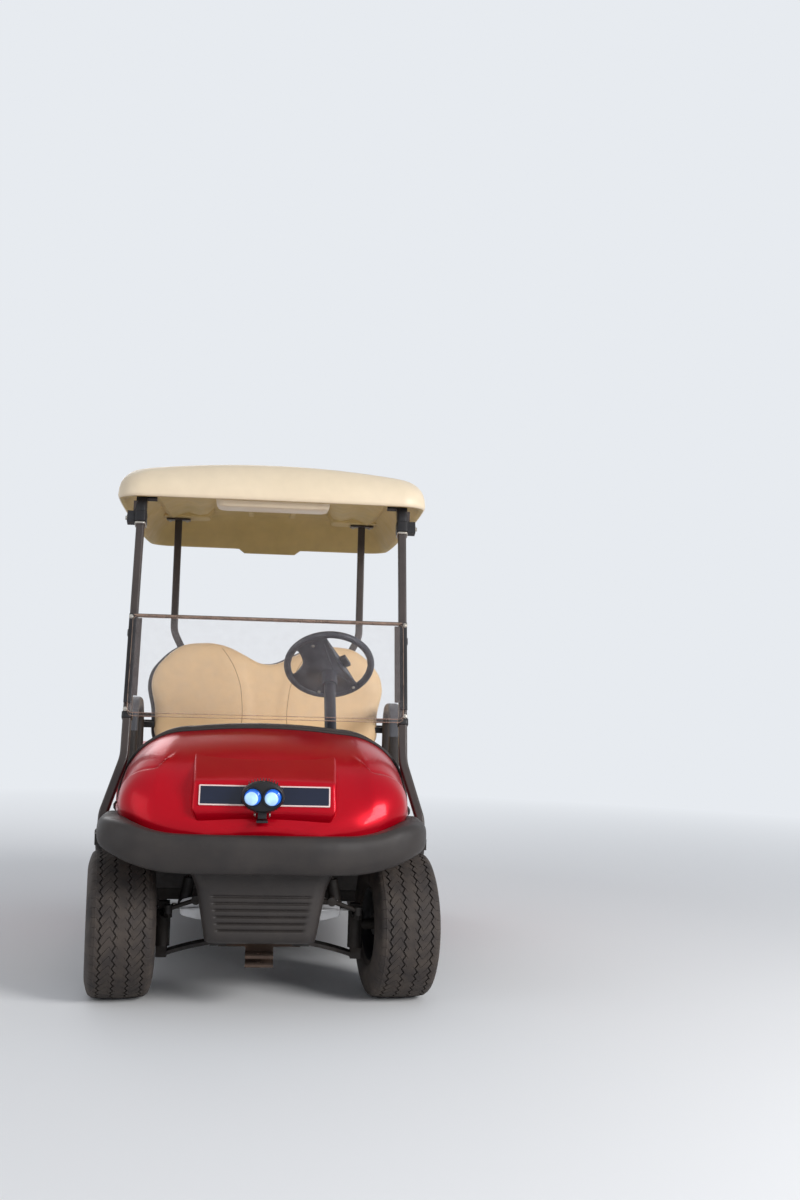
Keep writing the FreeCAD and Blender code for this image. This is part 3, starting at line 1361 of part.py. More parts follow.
def backrest_wire(grow, y):
    """The outline as arcs through points, closed on the other side."""
    pts = [Vector(x, y, z) for x, z in backrest_outline(grow)]

    def flip(p):
        return Vector(-p.x, p.y, p.z)

    right = [
        Part.makeLine(pts[0], pts[1]),
        Part.Arc(pts[1], pts[2], pts[3]).toShape(),
        Part.Arc(pts[3], pts[4], pts[5]).toShape(),
        Part.Arc(pts[5], pts[6], pts[7]).toShape(),
        Part.Arc(pts[7], pts[8], pts[9]).toShape(),
        Part.Arc(pts[9], (pts[9] + pts[10]) / 2 - Vector(0, 0, 5), pts[10]).toShape(),
    ]
    left = [
        Part.Arc(pts[10], flip((pts[9] + pts[10]) / 2 - Vector(0, 0, 5)), flip(pts[9])).toShape(),
        Part.Arc(flip(pts[9]), flip(pts[8]), flip(pts[7])).toShape(),
        Part.Arc(flip(pts[7]), flip(pts[6]), flip(pts[5])).toShape(),
        Part.Arc(flip(pts[5]), flip(pts[4]), flip(pts[3])).toShape(),
        Part.Arc(flip(pts[3]), flip(pts[2]), flip(pts[1])).toShape(),
        Part.makeLine(flip(pts[1]), pts[0]),
    ]
    return Part.Wire(right + left)


def make_backrest():
    y = backrest_foot()
    lean = backrest_turn()
    thick = D.backrest_thickness.value
    pad = Part.Face(backrest_wire(0, y)).extrude(Vector(0, thick, 0))
    item = keep("backrest_cushion", feature("backrest_pad", pad))
    item.Placement = lean
    shell = Part.Face(backrest_wire(12, y + thick + 0.3)).extrude(Vector(0, D.shell_thickness.value, 0))
    item = keep("backrest_shell", feature("backrest_cover", shell))
    item.Placement = lean


def backrest_foot():
    """Where the front face of the backrest meets its lower edge."""
    return box_rear.value - 41


def backrest_turn():
    """The turn that leans the backrest, and all that is parallel to it, about its lower front edge."""
    centre = Vector(0, backrest_foot(), D.backrest_bottom.value)
    return Placement(Vector(), Rotation(Vector(1, 0, 0), -D.backrest_lean.value), centre)


def bar_faces():
    """Front and rear faces of the cross bars before the lean: behind the shell, ahead of the posts."""
    front = backrest_foot() + D.backrest_thickness.value + D.shell_thickness.value + 0.6
    return front, front + 16


def rear_post_foot():
    """Where a rear post stands, as two distances."""
    lean = math.radians(D.backrest_lean.value)
    middle = bar_faces()[1] + 0.3 + D.rear_post_side.value / 2
    offset = middle - backrest_foot()
    y = backrest_foot() + offset / math.cos(lean) - 100 * math.tan(lean)
    return D.rear_post_spacing / 2 - 62, size_of(y)


def rear_post_points():
    """Path of a rear post: down from the roof, in behind the backrest, and down to the frame."""
    x, y = plain(*rear_post_foot())
    slant = math.tan(math.radians(D.backrest_lean.value))
    knee = D.backrest_bottom.value - 100
    top = D.rear_post_spacing.value / 2
    return [
        Vector(top, y + (1250 - knee) * slant + 26, D.roof_height.value - 86),
        Vector(top, y + (1190 - knee) * slant, 1190),
        Vector(x, y + (1070 - knee) * slant, 1070),
        Vector(x, y, knee),
        Vector(x, y, rail_top.value + 15 + D.cross_depth.value),
    ]


def make_posts():
    wide, deep = plain(D.post_width, D.post_depth)
    top_x, foot_x = D.post_spacing.value / 2, D.post_foot_spacing.value / 2
    base = beam_top.value
    beam = (beam_front.value + beam_back.value) / 2
    points = [
        Vector(foot_x, beam, base),
        Vector(foot_x - 3, beam + 6, base + 62),
        Vector(top_x, beam + 92, base + 236),
        Vector(top_x, roof_front().value + 92, rim_level(92) + 40),
    ]
    path = smooth_path(points, [60, 150])
    section = rounded_section(wide, deep, 7, points[0], points[1] - points[0], Vector(0, 1, 0))
    post = tube_along(path, section)
    foot = Part.makeBox(2000, 400, 60, Vector(-1000, beam - 200, base - 60))
    post = post.cut(foot)
    head = Part.makeBox(60, 30, 26, points[-1] - Vector(62, 15, 6))
    clip = Part.makeBox(20, 54, 44, points[-1] + Vector(6, -40, -94))
    both_sides("front_posts", feature("front_post_left", post.fuse([head, clip]).removeSplitter()))

    side = D.rear_post_side.value
    points = rear_post_points()
    path = smooth_path(points, [110, 110, 260])
    section = rounded_section(side, side, 5, points[0], points[1] - points[0], Vector(0, 1, 0))
    post = tube_along(path, section)
    ceiling = Part.makeBox(2000, 400, 60, Vector(-1000, points[0].y - 200, points[0].z - 2))
    flange = Part.makeBox(100, 62, 6, points[0] - Vector(50, 31, 8))
    level = Part.makeBox(2000, 2000, 60, Vector(-1000, 0, points[-1].z - 60))
    shape = post.cut(ceiling).cut(level).fuse(flange)
    both_sides("rear_posts", feature("rear_post_left", shape.removeSplitter()))


def make_restraints():
    """Moulded hip restraints: tall loops beside the seat, joined by a bar behind the backrest."""
    low, high = D.deck_height.value, D.restraint_height.value
    front, back = seat_front.value + 130, box_rear.value - 22
    x = D.seat_width.value / 2 + 10
    wide = D.restraint_width.value
    outer = [
        Vector(x, front, low), Vector(x, back, low), Vector(x, back, high - 60), Vector(x, back - 60, high),
        Vector(x, front + 80, high), Vector(x, front, high - 80),
    ]
    face = Part.Face(Part.makePolygon(outer + outer[:1])).extrude(Vector(wide, 0, 0))
    inner = [
        Vector(x - 5, front + 46, low + 42), Vector(x - 5, back - 46, low + 42), Vector(x - 5, back - 46, high - 86),
        Vector(x - 5, back - 76, high - 50), Vector(x - 5, front + 96, high - 50), Vector(x - 5, front + 46, high - 98),
    ]
    hole = Part.Face(Part.makePolygon(inner + inner[:1])).extrude(Vector(wide + 10, 0, 0))
    loop = face.cut(hole)
    edges = [e for e in loop.Edges if e.BoundBox.XLength > wide - 1 and e.BoundBox.ZMin > high - 110]
    loop = loop.makeFillet(26, [e for e in edges if e.BoundBox.ZMin > high - 84])
    both_sides("hip_restraints", feature("hip_restraint_left", loop))

    y, rear = bar_faces()
    lower = D.backrest_bottom.value
    ends = x + wide - 6
    bars = [Part.makeBox(2 * ends, rear - y, 18, Vector(-ends, y, lower + z)) for z in (12, 42)]
    for s in (1, -1):
        bars.append(Part.makeBox(36, rear - y, 60, Vector(s * (x - 60) - 18, y, lower + 6)))
    pair = bars[0].fuse(bars[1:])
    pair.Placement = backrest_turn()
    stays = []
    for s in (1, -1):
        across = min(s * (x + 8), s * ends)
        stay = Part.makeBox(ends - x - 8, y + 8 - back - 0.3, 20, Vector(across, back + 0.3, lower + 12))
        stays.append(stay)
    keep("backrest_bars", feature("backrest_bar_pair", pair.fuse(stays).removeSplitter()))


# Roof: a lofted moulding with a hollow underside and bosses for the rear posts
def roof_front():
    """Where the roof's front lip is."""
    return nose + D.roof_setback


def rim_level(back):
    """Lower edge of the roof at a distance behind its front lip."""
    return D.roof_height.value - D.roof_depth.value + D.roof_rise.value * (1 - back / D.roof_length.value)


# Each row: share of the roof's length, half width at the rim as a share, and crown drop.
ROOF_SECTIONS = [
    (0.0, 0.945, 40),
    (0.035, 0.98, 13),
    (0.12, 1.0, 4),
    (0.45, 1.0, 0),
    (0.90, 0.98, 12),
    (0.975, 0.955, 28),
    (1.0, 0.91, 56),
]


def roof_section(row, inset, top_inset, drop_rim):
    """One cross-section of the roof: rim, sloping shoulder and crowned top."""
    share, width, drop = row
    y = roof_front().value + share * D.roof_length.value
    wide = D.roof_width.value / 2 * width - inset
    rim = rim_level(share * D.roof_length.value) - drop_rim
    top = D.roof_height.value - drop - top_inset
    shoulder = wide - 74
    edge_top = top - 32
    lip = rim + (edge_top - rim) * 0.30
    right = [
        Vector(wide, y, rim), Vector(wide - 3, y, lip), Vector(wide - 25, y, rim + (edge_top - rim) * 0.68),
        Vector(shoulder, y, edge_top),
    ]
    left = [Vector(-p.x, p.y, p.z) for p in right]
    return Part.Wire([
        Part.makeLine(left[0], right[0]),
        Part.makeLine(right[0], right[1]),
        Part.Arc(right[1], right[2], right[3]).toShape(),
        Part.Arc(right[3], Vector(0, y, top), left[3]).toShape(),
        Part.Arc(left[3], left[2], left[1]).toShape(),
        Part.makeLine(left[1], left[0]),
    ])


def make_roof():
    wall = D.roof_wall.value
    outer = Part.makeLoft([roof_section(r, 0, 0, 0) for r in ROOF_SECTIONS], True, True)
    rows = [list(r) for r in ROOF_SECTIONS]
    rows[0][0] += wall / D.roof_length.value
    rows[-1][0] -= wall / D.roof_length.value
    rows[1][0] += 0.02
    rows[-2][0] -= 0.02
    inner = Part.makeLoft([roof_section(r, wall, 34, 20) for r in rows], True, True)
    shell = outer.cut(inner)
    post = rear_post_points()[0]
    ceiling = post.z - 2
    bosses = []
    for s in (1, -1):
        bosses.append(Part.makeBox(190, 150, 60, Vector(s * (post.x - 45) - 95, post.y - 75, ceiling)))
    head = Vector(D.post_spacing.value / 2, roof_front().value + 92, rim_level(92) + 60.3)
    for s in (1, -1):
        bosses.append(Part.makeBox(100, 60, 70, Vector(s * (head.x - 25) - 50, head.y - 30, head.z)))
    shell = shell.fuse([b.common(outer) for b in bosses])
    keep("roof", feature("roof_shell", shell.removeSplitter()))


def make_windshield():
    """Two clear panels: the upper one hangs folded down in front of the lower one."""
    beam = (beam_front.value + beam_back.value) / 2
    low = Vector(0, beam + 92, beam_top.value + 236)
    high = Vector(0, roof_front().value + 92, rim_level(92) + 40)
    way = (high - low).normalize()
    slope = math.degrees(math.asin(way.y))
    front = D.post_depth.value / 2 + 0.3
    out = Vector(0, -math.cos(math.radians(slope)), math.sin(math.radians(slope)))
    foot = D.cowl_height.value + D.glass_rise.value
    start = low + way * ((foot - low.z) / way.z) + out * front
    wide, tall, thick = plain(D.glass_width, D.glass_height, D.glass_thickness)
    turn = Rotation(Vector(1, 0, 0), -slope)
    for label, ahead, up in (("windshield_lower", 0.0, 0.0), ("windshield_upper", thick + D.glass_gap.value, 8.0)):
        pane = doc.addObject("Part::Box", label + "_pane")
        bind(pane, Length=D.glass_width, Width=D.glass_thickness, Height=D.glass_height - up)
        at = start + out * (thick + ahead) + way * up
        pane.Placement = Placement(Vector(-wide / 2, 0, 0) + at, turn)
        keep(label, pane)
    hinge_low = start + out * (thick + 0.0) + way * (tall + 0.1)
    depth = 2 * thick + D.glass_gap.value
    bar = Part.makeBox(wide, depth, 7, Vector(-wide / 2, 0, 0))
    bar.Placement = Placement(hinge_low + out * (depth - thick), turn)
    strips = []
    for s in (1, -1):
        spacer = Part.makeBox(30, D.glass_gap.value, tall * 0.78, Vector(s * (wide / 2 - 15) - 15, 0, tall * 0.2))
        spacer.Placement = Placement(start + out * (thick + D.glass_gap.value), turn)
        strips.append(spacer)
    strips.append(bar)
    keep("windshield_channels", feature("channel_shapes", Part.makeCompound(strips)))


def make_basket():
    """Open wire basket behind the backrest, over the bag well."""
    half, deep, tall = 300, 190, 190
    y = bag_front.value + 30
    low = D.fender_height.value + 50
    bar = 9
    solids = []
    for z in (low, low + tall - bar):
        outer = Part.makeBox(2 * half, deep, bar, Vector(-half, y, z))
        solids.append(outer.cut(Part.makeBox(2 * (half - bar), deep - 2 * bar, bar + 2, Vector(-half + bar, y + bar, z - 1))))
    for n in range(13):
        x = -half + n * (2 * half - bar) / 12
        for yy in (y, y + deep - bar):
            solids.append(Part.makeBox(bar, bar, tall, Vector(x, yy, low)))
        solids.append(Part.makeBox(bar, deep, bar, Vector(x, y, low)))
    for n in range(1, 4):
        yy = y + n * (deep - bar) / 4
        for x in (-half, half - bar):
            solids.append(Part.makeBox(bar, bar, tall, Vector(x, yy, low)))
        solids.append(Part.makeBox(2 * half, bar, bar, Vector(-half, yy, low)))
    x, foot = plain(*rear_post_foot())
    side = D.rear_post_side.value
    level = low + tall - 50
    knee = D.backrest_bottom.value - 100
    face = foot + (level - knee) * math.tan(math.radians(D.backrest_lean.value)) + side / 2 + 4
    for s in (1, -1):
        across = min(s * (half - 10), s * (x + side / 2))
        solids.append(Part.makeBox(x + side / 2 - half + 10, y + 30 - face, 20, Vector(across, face, level)))
    keep("basket", feature("basket_wires", solids[0].fuse(solids[1:]).removeSplitter()))


make_frame()
make_wheels()
for side, hand in ((1, "left"), (-1, "right")):
    make_knuckle(side, hand)
make_front_suspension()
make_steering()
make_rear_axle()
make_rear_dampers()
make_floor()
make_front_body()
make_bumper()
make_fascia()
make_dash()
make_column()
make_steering_wheel()
make_rear_body()
make_seat_box()
make_bag_well()
make_seat()
make_backrest()
make_restraints()
make_posts()
make_roof()
make_windshield()
make_basket()
doc.recompute()

problems = [f"{o.Name}: {o.State}" for o in doc.Objects if {"Invalid", "Error"} & set(o.State)]
for label, item in nodes.items():
    shape = item.Shape
    if shape.isNull() or not shape.isValid() or not shape.Solids:
        problems.append(f"{label}: no valid solid")
if problems:
    raise RuntimeError("\n".join(problems))

os.makedirs("parts", exist_ok=True)
for label, item in nodes.items():
    item.Shape.exportStep(f"parts/{label}.step")
print(len(nodes), "nodes")
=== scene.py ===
"""Dresses the golf cart: detailed meshes, procedural finishes, soft light and the camera.

Lengths are in metres. +Z is up, the cart drives towards -Y, and +X is its left, the driver's side.
"""

import json
import logging
import math
from dataclasses import dataclass
from enum import Enum
from functools import cache
from typing import Callable, Iterable, Sequence

import bmesh
import bpy
from mathutils import Matrix, Vector
from mathutils.bvhtree import BVHTree


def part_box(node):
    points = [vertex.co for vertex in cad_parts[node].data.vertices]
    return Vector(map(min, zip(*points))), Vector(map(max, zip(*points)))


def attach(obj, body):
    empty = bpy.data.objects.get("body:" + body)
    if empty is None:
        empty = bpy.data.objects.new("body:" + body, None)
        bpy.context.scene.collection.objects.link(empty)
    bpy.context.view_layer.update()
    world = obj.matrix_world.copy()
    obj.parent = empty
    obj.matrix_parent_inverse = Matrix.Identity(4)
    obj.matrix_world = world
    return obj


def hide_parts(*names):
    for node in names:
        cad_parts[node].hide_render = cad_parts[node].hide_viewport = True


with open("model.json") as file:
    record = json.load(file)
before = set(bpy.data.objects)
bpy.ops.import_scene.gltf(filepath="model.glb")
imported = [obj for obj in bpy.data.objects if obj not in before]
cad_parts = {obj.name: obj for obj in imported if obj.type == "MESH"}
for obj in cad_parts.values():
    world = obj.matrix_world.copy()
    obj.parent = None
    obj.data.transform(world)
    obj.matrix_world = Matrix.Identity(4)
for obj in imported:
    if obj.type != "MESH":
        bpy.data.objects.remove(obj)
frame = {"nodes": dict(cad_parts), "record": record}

LOG = logging.getLogger("cart")
Point = tuple[float, float, float]
Colour = tuple[float, float, float]
Pairs = Sequence[tuple[float, float]]
Table = tuple[tuple[float, ...], ...]
Socket = bpy.types.NodeSocket


class Side(Enum):
    """Which side of the cart a piece is on; the value is the sign of X."""

    LEFT = 1
    RIGHT = -1

    @property
    def word(self) -> str:
        """The side's name as the frame's nodes spell it."""
        return self.name.lower()


class Grain(Enum):
    """How the fine relief of a finish is made."""

    SMOOTH = "smooth"
    PEBBLED = "pebbled"
    LEATHER = "leather"
    BRUSHED = "brushed"
    FLAKED = "flaked"


def smoothstep(low: float, high: float, value: float) -> float:
    """A smooth rise from 0 at low to 1 at high."""
    t = min(1.0, max(0.0, (value - low) / (high - low)))
    return t * t * (3 - 2 * t)


def mix(a: float, b: float, share: float) -> float:
    """The number that lies at a share of the way from a to b."""
    return a + (b - a) * share


def turns(count: int) -> list[float]:
    """Angles, in radians, that divide a full turn evenly."""
    return [2 * math.pi * n / count for n in range(count)]


def pchip(knots: Pairs, at: float) -> float:
    """A smooth curve through knots that never overshoots them.

    Args:
        knots: (place, value) pairs in rising order of place.
        at: the place to read.

    Returns:
        The value at that place; beyond the ends, the value of the end.
    """
    xs, ys = [k[0] for k in knots], [k[1] for k in knots]
    if at <= xs[0]:
        return ys[0]
    if at >= xs[-1]:
        return ys[-1]
    step = [xs[i + 1] - xs[i] for i in range(len(xs) - 1)]
    rise = [(ys[i + 1] - ys[i]) / step[i] for i in range(len(step))]
    slope = [rise[0]]
    for i in range(1, len(rise)):
        a, b = rise[i - 1], rise[i]
        slope.append(0.0 if a * b <= 0 else 3 * (step[i - 1] + step[i]) / (
            (2 * step[i] + step[i - 1]) / a + (step[i] + 2 * step[i - 1]) / b))
    slope.append(rise[-1])
    i = max(n for n in range(len(step)) if xs[n] <= at)
    t = (at - xs[i]) / step[i]
    return (ys[i] * (1 + 2 * t) * (1 - t) ** 2 + step[i] * slope[i] * t * (1 - t) ** 2
            + ys[i + 1] * t * t * (3 - 2 * t) + step[i] * slope[i + 1] * t * t * (t - 1))


# How fine the soft noises of the finishes are, in cells per metre, and the colour of the dust.
CLOUDS, FLAKES, RUBBING, PATCHES, SMEARS, SCUFFS = 7.0, 2600.0, 60.0, 22.0, 18.0, 30.0
DUST = (0.135, 0.105, 0.080)


@dataclass(frozen=True)
class Finish:
    """A procedural material: colour with variation, wear, relief and gloss.

    Attributes:
        name: the material's name, which is also the record's slot.
        colour: main colour, linear.
        second: colour that soft noise mixes in.
        blend: how much of the second colour shows, from 0 to 1.
        roughness: mean roughness.
        spread: how far the roughness wanders.
        metallic: share of metal.
        coat: weight of the clear coat.
        grain: the kind of fine relief.
        relief: height of the relief, from 0 to 1.
        scale: how fine the relief is, in cells per metre.
        wear: how pale edges get, from 0 to 1.
        dust: how much pale dust lies in patches on the cart, from 0 to 1.
        sheen: weight of the soft edge glow of cloth and vinyl.
        shine: strength of the plain reflection; 0.5 is that of most plastics.
    """

    name: str
    colour: Colour
    second: Colour = (0.1, 0.1, 0.1)
    blend: float = 0.3
    roughness: float = 0.5
    spread: float = 0.08
    metallic: float = 0.0
    coat: float = 0.0
    grain: Grain = Grain.SMOOTH
    relief: float = 0.1
    scale: float = 900.0
    wear: float = 0.0
    dust: float = 0.0
    sheen: float = 0.0
    shine: float = 0.5

    @cache
    def build(self) -> bpy.types.Material:
        """Makes the material the first time it is asked for.

        Returns:
            The material.
        """
        material = bpy.data.materials.new(self.name)
        material.use_nodes = True
        material.node_tree.nodes.clear()
        net = Net(material.node_tree)
        output = net.node("OutputMaterial")
        shader = net.node("BsdfPrincipled", Metallic=self.metallic, Coat_Weight=self.coat, Coat_Roughness=0.06,
                          Specular_IOR_Level=self.shine, Sheen_Weight=self.sheen)
        net.feed(output.inputs["Surface"], shader.outputs["BSDF"])
        place = net.node("TexCoord").outputs["Object"]
        cloud = net.noise(place, CLOUDS, 4.0)
        colour = net.mix_colour(net.spread(cloud, 0.35, 0.7, 0.0, self.blend), self.colour, self.second)
        if self.grain is Grain.FLAKED:
            flakes = net.noise(place, FLAKES, 1.0)
            colour = net.mix_colour(net.spread(flakes, 0.55, 0.75, 0.0, 0.55), colour, brighter(self.colour, 1.9))
        if self.wear > 0:
            edge = net.spread(net.node("NewGeometry").outputs["Pointiness"], 0.52, 0.60, 0.0, self.wear)
            rubbed = net.multiply(edge, net.spread(net.noise(place, RUBBING, 3.0), 0.3, 0.7, 0.2, 1.0))
            colour = net.mix_colour(rubbed, colour, brighter(self.colour, 2.6, 0.06))
        if self.dust > 0:
            patchy = net.spread(net.noise(place, PATCHES, 6.0), 0.35, 0.75, 0.0, self.dust)
            colour = net.mix_colour(patchy, colour, DUST)
        net.feed(shader.inputs["Base Color"], colour)
        smear = net.noise(place, SMEARS, 5.0)
        low, high = max(0.03, self.roughness - self.spread), min(1.0, self.roughness + self.spread)
        net.feed(shader.inputs["Roughness"], net.spread(smear, 0.3, 0.7, low, high))
        if self.grain is not Grain.SMOOTH and self.relief > 0:
            net.feed(shader.inputs["Normal"], self._relief(net, place))
        return material

    def _relief(self, net: "Net", place: Socket) -> Socket:
        """Adds the nodes of the fine relief.

        Args:
            net: the material's nodes.
            place: the place on the object.

        Returns:
            The normal.
        """
        if self.grain is Grain.LEATHER:
            cells = net.node("TexVoronoi")
            cells.feature = "DISTANCE_TO_EDGE"
            net.feed(cells.inputs["Vector"], place)
            net.feed(cells.inputs["Scale"], self.scale)
            height = net.spread(cells.outputs["Distance"], 0.0, 0.14, 0.0, 1.0)
        elif self.grain is Grain.BRUSHED:
            stretch = net.node("Mapping", Vector=place, Scale=(1.0, 14.0, 14.0))
            height = net.noise(stretch.outputs["Vector"], self.scale, 2.0)
        else:
            height = net.noise(place, self.scale, 3.0)
        return net.node("Bump", Strength=min(1.0, self.relief), Distance=0.0006, Height=height).outputs["Normal"]


def brighter(colour: Colour, factor: float, lift: float = 0.0) -> Colour:
    """A colour made brighter, and lifted towards grey."""
    return tuple(min(1.0, c * factor + lift) for c in colour)


def plain_shader(material: bpy.types.Material) -> bpy.types.Node:
    """The shader that a new material comes with."""
    return next(n for n in material.node_tree.nodes if n.type == "BSDF_PRINCIPLED")


class Net:
    """Short names for the shader nodes that the finishes share."""

    def __init__(self, tree: bpy.types.NodeTree) -> None:
        """Keeps the node tree that the nodes go into."""
        self.tree = tree

    def feed(self, socket: Socket, value: Socket | float | Point) -> None:
        """Links an input to an output, or sets it.

        Args:
            socket: the input.
            value: the output, the number or the colour.
        """
        if isinstance(value, Socket):
            self.tree.links.new(value, socket)
        else:
            socket.default_value = (*value, 1.0) if socket.type == "RGBA" else value

    def node(self, kind: str, **inputs: Socket | float | Point) -> bpy.types.Node:
        """A new node with its inputs fed.

        Args:
            kind: the node's type, without its first word.
            inputs: what each input takes; _ in a name stands for a space.

        Returns:
            The node.
        """
        node = self.tree.nodes.new("ShaderNode" + kind)
        for name, value in inputs.items():
            self.feed(node.inputs[name.replace("_", " ")], value)
        return node

    def noise(self, place: Socket, scale: float, detail: float) -> Socket:
        """Soft noise of a scale, in cells per metre, with finer noise in it."""
        return self.node("TexNoise", Scale=scale, Detail=detail, Vector=place).outputs["Fac"]

    def spread(self, value: Socket, low: float, high: float, to_low: float, to_high: float) -> Socket:
        """A value mapped from one range to another, and kept inside it."""
        node = self.node("MapRange", Value=value, From_Min=low, From_Max=high, To_Min=to_low, To_Max=to_high)
        return node.outputs["Result"]

    def multiply(self, a: Socket, b: Socket) -> Socket:
        """The product of two values."""
        return self.math("MULTIPLY", a, b)

    def math(self, kind: str, a: Socket, b: Socket) -> Socket:
        """An operation on two values.

        Args:
            kind: the operation.
            a: the first value.
            b: the second value.

        Returns:
            The result.
        """
        node = self.node("Math")
        node.operation = kind
        self.feed(node.inputs[0], a)
        self.feed(node.inputs[1], b)
        return node.outputs["Value"]

    def seen(self) -> Socket:
        """Picks out the rays that show the backdrop.

        Returns:
            1 for the rays of the camera, of a gloss and through glass, 0 for the rest.
        """
        rays = self.node("LightPath")
        through = self.math("MAXIMUM", rays.outputs["Is Camera Ray"], rays.outputs["Is Transmission Ray"])
        return self.math("MAXIMUM", through, rays.outputs["Is Glossy Ray"])

    def mix_colour(self, share: Socket, a: Socket | Colour, b: Socket | Colour) -> Socket:
        """Mixes two colours.

        Args:
            share: how much of the second shows.
            a: the first colour.
            b: the second colour.

        Returns:
            The mix.
        """
        node = self.node("Mix")
        node.data_type = "RGBA"
        self.feed(node.inputs["Factor"], share)
        for name, value in (("A", a), ("B", b)):
            self.feed(next(s for s in node.inputs if s.name == name and s.type == "RGBA"), value)
        return next(s for s in node.outputs if s.type == "RGBA")

    def mix_shader(self, share: Socket, a: bpy.types.Node, b: bpy.types.Node) -> Socket:
        """Mixes what two nodes give.

        Args:
            share: how much of the second shows.
            a: the first node.
            b: the second node.

        Returns:
            The mix.
        """
        node = self.node("MixShader")
        self.feed(node.inputs["Fac"], share)
        self.feed(node.inputs[1], a.outputs[0])
        self.feed(node.inputs[2], b.outputs[0])
        return node.outputs["Shader"]


@dataclass(frozen=True)
class ClearFinish:
    """A clear or tinted panel that lets the pieces behind it show."""

    name: str
    colour: Colour
    alpha: float
    roughness: float = 0.06
    # Strength of an emission of the tint: painted light, not a lamp of the scene.
    glow: float = 0.0

    @cache
    def build(self) -> bpy.types.Material:
        """Makes the material the first time it is asked for.

        Returns:
            The material.
        """
        material = bpy.data.materials.new(self.name)
        material.use_nodes = True
        net = Net(material.node_tree)
        shader = plain_shader(material)
        net.feed(shader.inputs["Roughness"], self.roughness)
        net.feed(shader.inputs["IOR"], 1.45)
        place = net.node("TexCoord").outputs["Object"]
        scuffs = net.noise(place, SCUFFS, 6.0)
        haze = net.spread(scuffs, 0.35, 0.7, self.alpha * 0.75, min(1.0, self.alpha * 1.25))
        net.feed(shader.inputs["Alpha"], haze)
        tint = net.mix_colour(net.spread(scuffs, 0.3, 0.7, 0.0, 0.4), self.colour, brighter(self.colour, 1.2))
        net.feed(shader.inputs["Base Color"], tint)
        if self.glow > 0:
            net.feed(shader.inputs["Emission Color"], tint)
            net.feed(shader.inputs["Emission Strength"], self.glow)
        return material


RED = Finish("red_body", (0.46, 0.0, 0.009), (0.36, 0.0, 0.012), 0.30, 0.30, 0.015, 0.40, 0.16,
             Grain.FLAKED, 0.0, 900.0, 0.0, 0.0, shine=0.14)
CREAM = Finish("cream_roof", (0.82, 0.68, 0.49), (0.70, 0.57, 0.39), 0.30, 0.46, 0.08, 0.0, 0.08,
               Grain.PEBBLED, 0.10, 700.0, 0.0, 0.05)
# Painted shade: a darker, olive copy of the cream for the roof's hollow inside, where the moulding is the same cream
# plastic in shade and lit green from the ground below.
UNDERSIDE_PAINTED_SHADE = Finish("cream_underside", (0.58, 0.42, 0.17), (0.48, 0.35, 0.13), 0.5, 0.62, 0.08, 0.0, 0.0,
                   Grain.PEBBLED, 0.25, 700.0, 0.0, 0.12, shine=0.3)
BLACK = Finish("black_moulding", (0.026, 0.022, 0.021), (0.044, 0.037, 0.034), 0.6, 0.50, 0.10, 0.0, 0.0,
               Grain.PEBBLED, 0.35, 1400.0, 0.25, 0.06, shine=0.32)
MAT = Finish("floor_mat", (0.035, 0.034, 0.036), (0.07, 0.062, 0.055), 0.5, 0.80, 0.08, 0.0, 0.0,
             Grain.PEBBLED, 0.5, 800.0, 0.2, 0.25, shine=0.3)
STEEL = Finish("black_steel", (0.040, 0.031, 0.029), (0.068, 0.052, 0.046), 0.5, 0.40, 0.08, 0.15, 0.1,
               Grain.PEBBLED, 0.12, 1800.0, 0.25, 0.05, shine=0.4)
VINYL = Finish("tan_vinyl", (0.84, 0.585, 0.33), (0.76, 0.51, 0.28), 0.35, 0.50, 0.07, 0.0, 0.0,
               Grain.LEATHER, 0.22, 750.0, 0.0, 0.03, 0.12, shine=0.4)
# Painted shade: a dark brown for the cords in the backrest's seams, standing in for the shade in the seam creases.
SEAM_PAINTED_SHADE = Finish("vinyl_seam", (0.34, 0.20, 0.10), (0.28, 0.16, 0.08), 0.3, 0.60, 0.06, 0.0, 0.0,
              Grain.PEBBLED, 0.2, 900.0, shine=0.3)
SHELL = Finish("grey_shell", (0.060, 0.062, 0.072), (0.090, 0.092, 0.100), 0.5, 0.48, 0.08, 0.0, 0.0,
               Grain.PEBBLED, 0.25, 1400.0, 0.2, 0.05, shine=0.4)
RUBBER = Finish("tyre_rubber", (0.030, 0.025, 0.024), (0.060, 0.048, 0.042), 0.6, 0.74, 0.08, 0.0, 0.0,
                Grain.PEBBLED, 0.35, 1100.0, 0.35, 0.35, shine=0.3)
RIM = Finish("silver_rim", (0.60, 0.61, 0.63), (0.48, 0.48, 0.50), 0.4, 0.33, 0.08, 0.75, 0.4,
             Grain.PEBBLED, 0.05, 1500.0, 0.0, 0.18)
CHASSIS = Finish("suspension_steel", (0.016, 0.015, 0.015), (0.042, 0.031, 0.024), 0.5, 0.58, 0.12, 0.3, 0.0,
                 Grain.PEBBLED, 0.35, 900.0, 0.3, 0.12, shine=0.3)
ALLOY = Finish("silver_plate", (0.60, 0.60, 0.61), (0.42, 0.41, 0.40), 0.5, 0.42, 0.10, 0.75, 0.0,
               Grain.BRUSHED, 0.3, 300.0, 0.0, 0.30)
RUST = Finish("rusty_steel", (0.040, 0.026, 0.020), (0.105, 0.055, 0.032), 0.7, 0.85, 0.08, 0.2, 0.0,
              Grain.PEBBLED, 0.9, 500.0, 0.2, 0.3, shine=0.3)
PLATE = Finish("plate_black", (0.004, 0.008, 0.026), (0.012, 0.016, 0.040), 0.4, 0.22, 0.06, 0.0, 0.25,
               Grain.SMOOTH, shine=0.3)
BORDER = Finish("plate_border", (0.80, 0.62, 0.58), (0.70, 0.52, 0.50), 0.3, 0.40)
